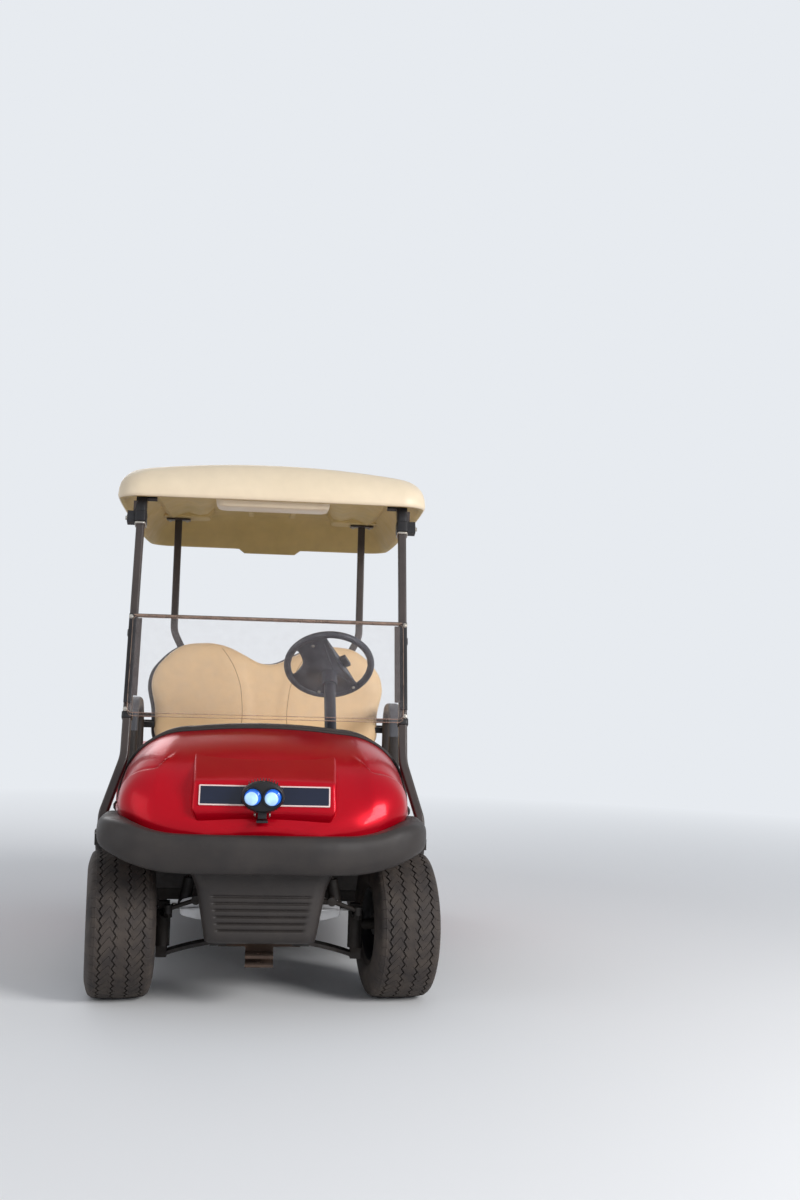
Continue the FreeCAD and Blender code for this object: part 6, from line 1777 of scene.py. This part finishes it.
@dataclass
class Seat:
    """The bench cushion, the two-humped backrest with its shell, and the piping under the bench."""

    half: float = 0.488
    front: float = 0.054
    back: float = 0.498
    low: float = 0.600
    high: float = 0.705
    foot: Point = (0.0, 0.504, 0.800)
    lean: float = 8.0
    thick: float = 0.076
    # How far the padding sits towards the driver's side of its shell.
    aside: float = 0.010
    # Right half of the backrest's outline before it leans: distance from the middle, height.
    humps: Table = (
        (0.0, 0.724), (0.200, 0.724), (0.395, 0.725), (0.440, 0.736), (0.461, 0.772), (0.466, 0.872), (0.485, 0.965),
        (0.474, 1.030), (0.440, 1.078), (0.395, 1.120), (0.345, 1.144), (0.253, 1.153), (0.180, 1.142), (0.110, 1.112),
        (0.045, 1.080), (0.0, 1.073),
    )
    # Height, then how far from the middle the seam of each hump is.
    seams: Table = ((0.72, 0.105), (0.85, 0.092), (0.95, 0.100), (1.04, 0.128), (1.12, 0.178), (1.15, 0.205))

    def build(self) -> None:
        """Makes both cushions and the shell."""
        self._bench()
        self._backrest()
        dress("seat_pan", BLACK, 0.002)
        dress("backrest_bars", STEEL, 0.0015)
        for side in Side:
            block = Shape().box((0.450 * side.value, 0.520, 0.787), (0.512 * side.value, 0.556, 0.811))
            make(f"backrest_bracket_{side.word}", block, LAMP, angle=35, bevel=0.003)

    def _bench(self) -> None:
        """The seat cushion: crowned top, soft edges, two sewn channels and piping."""
        middle = (self.front + self.back) / 2
        plan = rounded_box_section(self.half * 2 - 0.016, self.back - self.front - 0.016, 0.060, 10)
        shape = Shape().stack(plan, [(self.low + 0.001, 0.975), (self.low + 0.014, 1.0), (self.high - 0.045, 1.0),
                                     (self.high - 0.022, 0.985), (self.high - 0.012, 0.95), (self.high - 0.008, 0.5)],
                              (0.0, middle))

        def pull(p: Vector, start: Vector) -> Vector:
            """Sews the channels in and keeps the foot flat and the sides in their place.

            Args:
                p: a swollen point.
                start: where it was.

            Returns:
                Where it goes.
            """
            if start.z < self.low + 0.01:
                p.z = max(self.low + 0.0005, min(p.z, start.z))
            top = smoothstep(self.high - 0.05, self.high - 0.02, p.z)
            for x in (-0.245, 0.245):
                p.z -= 0.006 * top * math.exp(-((p.x - x) / 0.007) ** 2)
            p.z -= 0.006 * top * math.exp(-((p.y - (self.front + 0.115)) / 0.007) ** 2)
            p.z -= 0.010 * top * (abs(p.x) < 0.46) * math.exp(-((p.x) / 0.035) ** 2)
            p.x = max(-self.half, min(self.half, p.x))
            p.y = max(self.front, min(self.back, p.y))
            p.z = min(p.z, self.high + 0.004)
            return p

        Cushion("seat_cushion_cover", "seat_lid", ("seat_cushion",), 0.012).inflate(shape, pull)
        loop = [Vector((x, middle + y, self.low + 0.006)) for x, y in
                rounded_box_section(self.half * 2 - 0.006, self.back - self.front - 0.006, 0.062, 10)]
        make("seat_piping", Shape().tube(loop, 0.0035, 8, True), SHELL, body="seat_lid")

    def turn(self) -> Matrix:
        """The backrest's lean about its lower front edge."""
        at = Matrix.Translation(Vector(self.foot))
        return at @ turned(-self.lean, "X") @ at.inverted()

    def outline(self, grow: float, steps: int = 240) -> list[Vector]:
        """The two-humped outline before its lean.

        Args:
            grow: how far it is moved outwards.
            steps: how many points it has.

        Returns:
            Evenly spaced points.
        """
        whole = [*self.humps, *((-x, z) for x, z in reversed(self.humps[1:-1]))]
        even = evenly(smooth_path([(x, 0, z) for x, z in [*whole, whole[0]]]), steps)[:-1]
        out = []
        for n, p in enumerate(even):
            way = (even[(n + 2) % steps] - even[n - 2]).normalized()
            out.append(p + Vector((way.z, 0, -way.x)) * grow)
        return out

    def seam(self, z: float) -> float:
        """How far from the middle the sewn seam of each hump is at a height."""
        return pchip(self.seams, z)

    def _backrest(self) -> None:
        """The backrest cushion with its curved seams, and the moulded shell behind it."""
        turn = self.turn()
        y = self.foot[1]
        shape = Shape().solid([[p + Vector((self.aside, y + depth, 0)) for p in self.outline(0.009 - shrink, 280)]
                               for depth, shrink in ((self.thick - 0.001, 0.002), (self.thick - 0.014, 0.0),
                                                     (0.030, 0.0), (0.016, 0.007), (0.010, 0.022))])

        def pull(p: Vector, start: Vector) -> Vector:
            """Sews the seams in and keeps the back flat.

            Args:
                p: a swollen point.
                start: where it was.

            Returns:
                Where it goes.
            """
            if start.y > y + self.thick - 0.012:
                p.y = min(p.y, y + self.thick - 0.0005)
            face = 1 - smoothstep(y + 0.02, y + 0.05, p.y)
            seam = self.seam(p.z)
            for side in (1, -1):
                p.y += 0.0060 * face * math.exp(-((p.x - side * seam) / 0.0080) ** 2)
            p.y += 0.012 * face * (1 - smoothstep(seam - 0.05, seam, abs(p.x))) * smoothstep(0.76, 0.86, p.z)
            p.y += 0.016 * face * math.exp(-(p.x / 0.045) ** 2 - ((p.z - 0.790) / 0.022) ** 2)
            p.y = max(p.y, y)
            return p

        item = Cushion("backrest_cover", "chassis", ("backrest_cushion",), 0.012).inflate(shape, pull)
        self._seams(item, turn)
        item.data.transform(turn)
        back = Shape().solid([[turn @ (p + Vector((0, y + self.thick + 0.0003 + depth, 0))) for p in self.outline(grow)]
                              for depth, grow in ((0.004, -0.012), (0.0005, -0.003), (0.002, 0.003), (0.008, 0.005),
                                                  (0.014, 0.004), (0.0175, -0.002), (0.0180, -0.030))])
        make("backrest_back", back, SHELL, ["backrest_shell"], 50)

    def _seams(self, item: bpy.types.Object, turn: Matrix) -> None:
        """Thin cords in the curved sewn seams of the backrest, darkened with painted shade of the seam creases.

        Args:
            item: the backrest cushion before it leans.
            turn: its lean.
        """
        tree = BVHTree.FromPolygons([v.co for v in item.data.vertices],
                                    [tuple(f.vertices) for f in item.data.polygons])
        shape = Shape()
        for side in Side:
            line = []
            for n in range(41):
                z = mix(0.748, 1.128, n / 40)
                start = Vector((side.value * self.seam(z), self.foot[1] - 0.2, z))
                hit = tree.ray_cast(start, Vector((0, 1, 0)))[0]
                if hit is not None:
                    line.append(turn @ (hit + Vector((0, 0.0002, 0))))
            shape.tube(line, 0.0013)
        make("backrest_seams", shape, SEAM_PAINTED_SHADE, angle=60)


@dataclass
class SteeringWheel:
    """The steering wheel: grip with finger bumps, broad hub cover, spokes and the card clip."""

    hub: Point = (0.229, -0.120, 1.060)
    ring: float = 0.155
    grip: float = 0.013
    # How far the wheel leans and how far it stands turned, in degrees.
    lean: float = -45.0
    turn: float = 52.0
    # The larger opening: direction of its middle and half its spread in degrees, and its distance from the middle.
    gap_middle: float = 279.0
    gap_half: float = 69.0
    gap_near: float = 0.051
    # The small opening: where it starts and ends, in degrees, and its depth from the grip inwards.
    slot_start: float = 106.0
    slot_end: float = 160.0
    slot_depth: float = 0.046

    def place(self) -> Matrix:
        """The wheel's middle, its axis towards the driver, turned as it stood."""
        return Matrix.Translation(Vector(self.hub)) @ turned(self.lean, "X") @ turned(self.turn, "Z")

    def build(self) -> None:
        """Makes the wheel and dresses the column."""
        place = self.place()
        rings = []
        for a in turns(144):
            bump = 1.0 + 0.055 * max(0.0, math.cos(a * 24)) * (1 if math.sin(a) > -0.9 else 0)
            out = Vector((math.cos(a), math.sin(a), 0))
            rings.append([place @ (out * (self.ring + self.grip * math.cos(b) * (bump if math.cos(b) < 0 else 1))
                                   + Vector((0, 0, self.grip * math.sin(b)))) for b in turns(16)])
        shape = Shape().rings([*rings, rings[0]])
        self._web(shape, place)
        make("steering_wheel_body", shape, WHEEL, ["steering_wheel"], 42, body="steering_wheel")
        chord = place @ turned(self.gap_middle, "Z")
        base = chord @ Matrix.Translation((self.gap_near + 0.012, 0.004, -0.004))
        clip = Shape().box((-0.012, -0.024, -0.008), (0.012, 0.024, 0.006), base)
        clip.box((-0.016, -0.020, 0.006), (0.010, 0.020, 0.012), base)
        for angle, r in ((186, 0.123), (-5, 0.143), (51, 0.136)):
            spot = place @ turned(angle, "Z") @ Vector((r, 0, -0.010))
            clip.bolt(spot, place.to_3x3() @ Vector((0, 0, -1)), 0.0045, 0.004, 1)
        make("steering_wheel_clip", clip, (LAMP, BOLT), angle=35, bevel=0.001, body="steering_wheel")
        dress("steering_column", WHEEL, 0.0012)

    def reach(self, angle: float) -> float:
        """How far from the middle the solid web goes before an opening starts.

        Args:
            angle: the way outwards, in degrees.

        Returns:
            The distance.
        """
        turn = (angle - self.gap_middle + 180) % 360 - 180
        out = self.ring
        if abs(turn) < self.gap_half:
            out = min(out, self.gap_near / max(0.05, math.cos(math.radians(turn))))
        small = (angle % 360 - self.slot_start) / (self.slot_end - self.slot_start)
        if 0 < small < 1:
            out = min(out, self.ring - 0.010 - self.slot_depth * math.sin(math.pi * small) ** 0.6)
        return out

    def _web(self, shape: Shape, place: Matrix) -> None:
        """The dished web with its two openings, the hub cover, and two raised lines along the larger opening.

        Args:
            shape: takes the faces.
            place: the wheel's middle.
        """
        # Distance from the middle, then the heights of the upper and the lower face.
        section = ((0.0, 0.014, -0.046), (0.020, 0.013, -0.045), (0.026, 0.012, -0.038), (0.045, 0.009, -0.030),
                   (0.065, 0.005, -0.022), (0.085, 0.003, -0.015), (0.105, 0.001, -0.010), (0.130, 0.000, -0.007),
                   (self.ring, 0.000, -0.006))

        def face(r: float, which: int) -> Vector:
            """A point of the web's upper (1) or lower (2) face at a distance from the middle, along X."""
            return Vector((r, 0, pchip([(row[0], row[which]) for row in section], r)))

        radii = [row[0] for row in section[1:]]
        rings = []
        for n in range(180):
            angle = 2.0 * n
            turn = place @ turned(angle, "Z")
            far = self.reach(angle)
            rings.append([turn @ face(min(r, far), 1) for r in radii]
                         + [turn @ face(min(r, far - 0.001), 2) for r in reversed(radii)])
        shape.rings([*rings, rings[0]], False)
        shape.lathe([(0.020, 0.013), (0.0002, 0.0145)], place, 36)
        chord = place @ turned(self.gap_middle, "Z")
        for inward, bulge, radius in ((0.004, 0.0, 0.0045), (0.018, 0.012, 0.0030)):
            line = []
            for n in range(25):
                t = n / 24 * 2 - 1
                along = t * (0.128 - inward)
                away = self.gap_near - inward - bulge * (1 - t * t)
                line.append(chord @ Vector((away, along, face(math.hypot(along, away), 2).z)))
            shape.tube(line, radius, 10)


@dataclass
class HipRestraints:
    """The moulded loops beside the seat, with grey pads round their fronts and tops."""

    middle: float = 0.514
    wide: float = 0.044
    tall: float = 0.046
    # Middle line of a loop, from the lower front corner upwards: distance back, height; then the corners' radii.
    corners: Table = ((0.213, 0.623), (0.213, 0.892), (0.500, 0.892), (0.500, 0.623))
    radii: tuple[float, ...] = (0.022, 0.105, 0.080, 0.022)

    def build(self) -> None:
        """Makes both loops and their pads."""
        for side in Side:
            corners = [Vector((self.middle * side.value, y, z)) for y, z in self.corners]
            seam = corners[0].lerp(corners[-1], 0.3)
            path = round_corners([seam, *corners, seam], self.radii, 10)[:-1]
            rings = self._around(path, range(len(path)), rounded_box_section(self.wide, self.tall, 0.017, 5), 0.0)
            make(f"hip_loop_{side.word}", Shape().rings([*rings, rings[0]]), BLACK, ["hip_restraints"], 60)
            covered = [n for n, p in enumerate(path) if p.z > 0.66 and p.y < 0.42]
            section = rounded_box_section(self.wide + 0.004, self.tall * 0.55, 0.011, 5)
            pad = Shape().solid(self._around(path, covered, section, self.tall * 0.26))
            make(f"hip_pad_{side.word}", pad, SHELL, angle=50)

    @staticmethod
    def _around(path: list[Vector], stops: Iterable[int], section: Pairs, lift: float) -> list[list[Vector]]:
        """Rings of a section along a closed path.

        Args:
            path: its points.
            stops: numbers of the points that get a ring.
            section: (across the cart, outwards) pairs.
            lift: how far the section is moved outwards.

        Returns:
            The rings.
        """
        rings = []
        for n in stops:
            way = (path[(n + 1) % len(path)] - path[n - 1]).normalized()
            out = Vector((0, -way.z, way.y))
            rings.append([path[n] + Vector((a, 0, 0)) + out * (b + lift) for a, b in section])
        return rings


@dataclass
class RunningGear:
    """Frame, springs, steering rods, axle and what hangs between the wheels."""

    # Where a boot starts on the left end of the rack housing.
    boot: Point = (0.1495, -0.870, 0.313)

    def build(self) -> None:
        """Dresses the running gear and adds boots, plates and nuts."""
        for node in ("frame", "front_leaf_spring", "kingpins", "knuckle_left", "knuckle_right", "front_dampers",
                     "steering_gear", "rack_and_tie_rods", "rear_axle", "rear_leaf_springs", "rear_dampers"):
            dress(node, CHASSIS, 0.0015)
        dress("upper_arms", ALLOY, 0.0012)
        dress("tow_bracket", RUST, 0.0015)
        dress("battery_pack", BATTERY, 0.004)
        for add in (self._boot, self._plate, self._nuts):
            for side in Side:
                add(side)

    def _boot(self, side: Side) -> None:
        """The pleated rubber boot at one end of the rack housing.

        Args:
            side: its side.
        """
        pleats = [(r, along + n * 0.007) for n in range(4) for r, along in ((0.0250, 0.002), (0.0205, 0.0055))]
        x, y, z = self.boot
        place = facing((x * side.value, y, z), (side.value, 0, 0))
        shape = Shape().lathe([(0.0225, 0.0), *pleats, (0.0225, 0.030)], place, 32)
        make(f"rack_boot_{side.word}", shape, LAMP, angle=50)

    @staticmethod
    def _plate(side: Side) -> None:
        """The bright flange plate that hangs from the front of an upper arm.

        Args:
            side: its side.
        """
        outline = ((0.152, 0.243), (0.205, 0.245), (0.244, 0.255), (0.252, 0.263), (0.252, 0.297), (0.244, 0.306),
                   (0.200, 0.316), (0.152, 0.318))
        shape = Shape().solid([[(x * side.value, y, z) for x, z in outline] for y in (-0.8125, -0.8090)])
        make(f"arm_plate_{side.word}", shape, ALLOY, angle=30, bevel=0.0008)

    @staticmethod
    def _nuts(side: Side) -> None:
        """Nuts on an upper arm, on its kingpin and on the leaf spring's clamp.

        Args:
            side: their side.
        """
        shape = Shape()
        for x, y in ((0.165, -0.825), (0.165, -0.715), (0.270, -0.792)):
            shape.bolt((x * side.value, y, 0.2815), (0, 0, 1), 0.008, 0.007)
        for y in (-0.805, -0.755):
            shape.bolt((0.040 * side.value, y, 0.163), (0, 0, -1), 0.007, 0.006)
        make(f"suspension_nuts_{side.word}", shape, BOLT)


@dataclass
class Cabin:
    """Floor, sills, pedals, dash, seat box and the switch panel, each with the width of its rounding."""

    pieces: tuple[tuple[str, Finish, float], ...] = (
        ("floor_pan", MAT, 0.0015), ("sills", BLACK, 0.0), ("pedals", LAMP, 0.0012), ("dash_panel", BLACK, 0.004),
        ("seat_box", BLACK, 0.004), ("switch_panel", LAMP, 0.0015))

    def build(self) -> None:
        """Dresses the cabin's pieces."""
        for node, finish, edge in self.pieces:
            dress(node, finish, edge)


@dataclass
class RearEnd:
    """Rear body with its fenders, bag well, bumper, reflectors, basket and bag straps."""

    front: float = 0.064
    back: float = 1.150
    base: float = 0.3355
    tail_base: float = 0.4385
    axle: Point = (0.0, 0.884, 0.2285)
    arch: float = 0.290
    corner: float = 0.090
    seat_room: float = 0.490
    bag_room: float = 0.3405
    deck_back: float = 0.553
    bag_front: float = 0.645
    wall: float = 0.004
    # Distance from the cart's middle backwards, then the half width there.
    plan: Table = (
        (0.064, 0.550), (0.390, 0.550), (0.574, 0.566), (0.700, 0.590), (0.800, 0.600), (1.060, 0.600), (1.150, 0.600))
    # Distance backwards, then the height of the top.
    crown: Table = (
        (0.064, 0.600), (0.505, 0.600), (0.555, 0.646), (0.610, 0.700), (0.740, 0.709), (0.864, 0.712), (1.020, 0.697),
        (1.150, 0.656))

    def build(self) -> None:
        """Makes the rear body and the bumper, dresses the rest and adds straps with buckles."""
        for side in Side:
            self._fender(side)
        self._bridge()
        self._bumper()
        dress("bag_well", BLACK, 0.002)
        dress("rear_reflectors", RED_LENS, 0.002)
        dress("basket", STEEL, 0.0)
        self._straps()

    def top(self, y: float) -> float:
        """Height of the body's top at a distance backwards, rounded off over the tail."""
        t = max(0.0, (y - (self.back - 0.035)) / 0.035)
        return pchip(self.crown, y) - 0.035 * (1 - math.sqrt(max(0.0, 1 - t * t)))

    def foot(self, y: float) -> float:
        """Height of the body's lower edge: the sill, the wheel arch or the tail."""
        arch = self.axle[2] + math.sqrt(max(0.0, self.arch ** 2 - (y - self.axle[1]) ** 2))
        return max(arch, self.base if y < self.axle[1] else self.tail_base)

    def _half(self, y: float) -> float:
        """Half width of the body at a distance backwards, with the round corner at the tail."""
        t = max(0.0, (y - (self.back - self.corner)) / self.corner)
        return pchip(self.plan, y) - self.corner * (1 - math.sqrt(max(0.0, 1 - t * t)))

    def _section(self, side: Side, y: float, room: float) -> list[Vector]:
        """The section from the lower edge up the side and over the shoulder to the inner edge.

        Args:
            side: the side of the cart.
            y: its distance backwards.
            room: how far from the middle the inner edge is.

        Returns:
            Its points.
        """
        wide, top, foot = self._half(y), self.top(y), self.foot(y)
        radius = 0.052 if y > 0.60 else mix(0.030, 0.052, smoothstep(0.50, 0.60, y))
        radius = min(radius, (top - foot) * 0.6)
        out = []
        for n in range(13):
            z = mix(foot, top - radius, n / 12)
            out.append((wide - 0.004 * smoothstep(0.42, 0.70, z), z))
        edge = out[-1][0]
        for n in range(1, 13):
            a = math.pi / 2 * n / 12
            out.append((edge - radius * (1 - math.cos(a)), top - radius * (1 - math.sin(a))))
        start = out[-1][0]
        out += [(mix(start, room, n / 8), top + 0.003 * math.sin(math.pi * n / 8)) for n in range(1, 9)]
        return [Vector((side.value * x, y, z)) for x, z in out]

    def _fender(self, side: Side) -> None:
        """One side of the body: the panel beside the seat, the fender over the wheel and the tail.

        Args:
            side: the side of the cart.
        """
        stops = {self.front, self.deck_back - 0.0004, self.deck_back + 0.0004, self.back}
        stops |= {mix(self.front, self.back - self.corner, n / 84) for n in range(85)}
        stops |= {self.back - self.corner * (1 - math.sin(math.pi / 2 * n / 16)) for n in range(16)}
        rings = [self._section(side, y, self.seat_room if y < self.deck_back else self.bag_room)
                 for y in sorted(stops)]
        shape = Shape().rings(rings, False)
        for ring in (rings[0], rings[-1]):
            shape.add([*ring, (ring[-1].x, ring[0].y, ring[0].z)], [range(len(ring) + 1)])
        make(f"fender_{side.word}", shape, RED, ["rear_body"], 40, wall=self.wall)
        path = []
        for n in range(49):
            a = math.radians(mix(21.5, 133.5, n / 48))
            y = self.axle[1] - self.arch * math.cos(math.pi - a)
            path.append(Vector((side.value * (self._half(y) - 0.004), y, self.axle[2] + self.arch * math.sin(a))))
        lip = Shape().tube([p for p in path if p.z >= self.foot(p.y) - 0.003], 0.0045, 10)
        make(f"arch_lip_{side.word}", lip, RED, angle=60)

    def _bridge(self) -> None:
        """The strip of body that crosses between the seat and the bag well."""
        rings = []
        for n in range(13):
            y = mix(self.deck_back, self.bag_front, n / 12)
            rings.append([(x, y, self.top(y) - 0.0008) for x in (-0.50, -0.20, 0.20, 0.50)])
        make("body_bridge", Shape().rings(rings, False), RED, ["rear_body"], 50, wall=self.wall)

    @staticmethod
    def _bumper() -> None:
        """The rounded rear bumper bar."""
        corners = [(x, y, 0.3887) for x, y in ((0.5495, 1.112), (0.5495, 1.1405), (-0.5495, 1.1405), (-0.5495, 1.112))]
        rings = sweep(round_corners(corners, (0.026, 0.026), 10), rounded_box_section(0.057, 0.097, 0.018, 6))
        make("rear_bumper_bar", Shape().solid(rings), BLACK, ["rear_bumper"], 50)

    @staticmethod
    def _straps() -> None:
        """Two webbing straps that cross behind the basket, each with a buckle."""
        for side in Side:
            s = side.value
            path = smooth_path([(0.05 * s, 0.898, 0.93), (0.10 * s, 0.912, 0.90), (0.20 * s, 0.906, 0.885),
                                (0.285 * s, 0.885, 0.91)], 10)
            section = [(y, x) for x, y in rounded_box_section(0.028, 0.003, 0.0012, 2)]
            middle = path[len(path) // 2]
            shape = Shape().solid(sweep(path, section))
            shape.box((middle.x - 0.020, middle.y - 0.004, middle.z - 0.018),
                      (middle.x + 0.020, middle.y + 0.008, middle.z + 0.018), tag=1)
            make(f"bag_strap_{side.word}", shape, (MAT, LAMP), angle=40)


def main() -> None:
    """Builds every part of the scene in order."""
    logging.basicConfig(level=logging.INFO, format="%(name)s %(message)s")
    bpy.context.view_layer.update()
    bpy.context.scene.view_settings.view_transform = "Standard"
    wheels = [Wheel(end, side) for end in ("front", "rear") for side in Side]
    for part in (Viewpoint(), Stage(), FrontBody(), Bumper(), Fascia(), Roof(), Windshield(), Posts(), *wheels,
                 Seat(), SteeringWheel(), HipRestraints(), RunningGear(), Cabin(), RearEnd()):
        part.build()


if __name__ == "__main__":
    main()
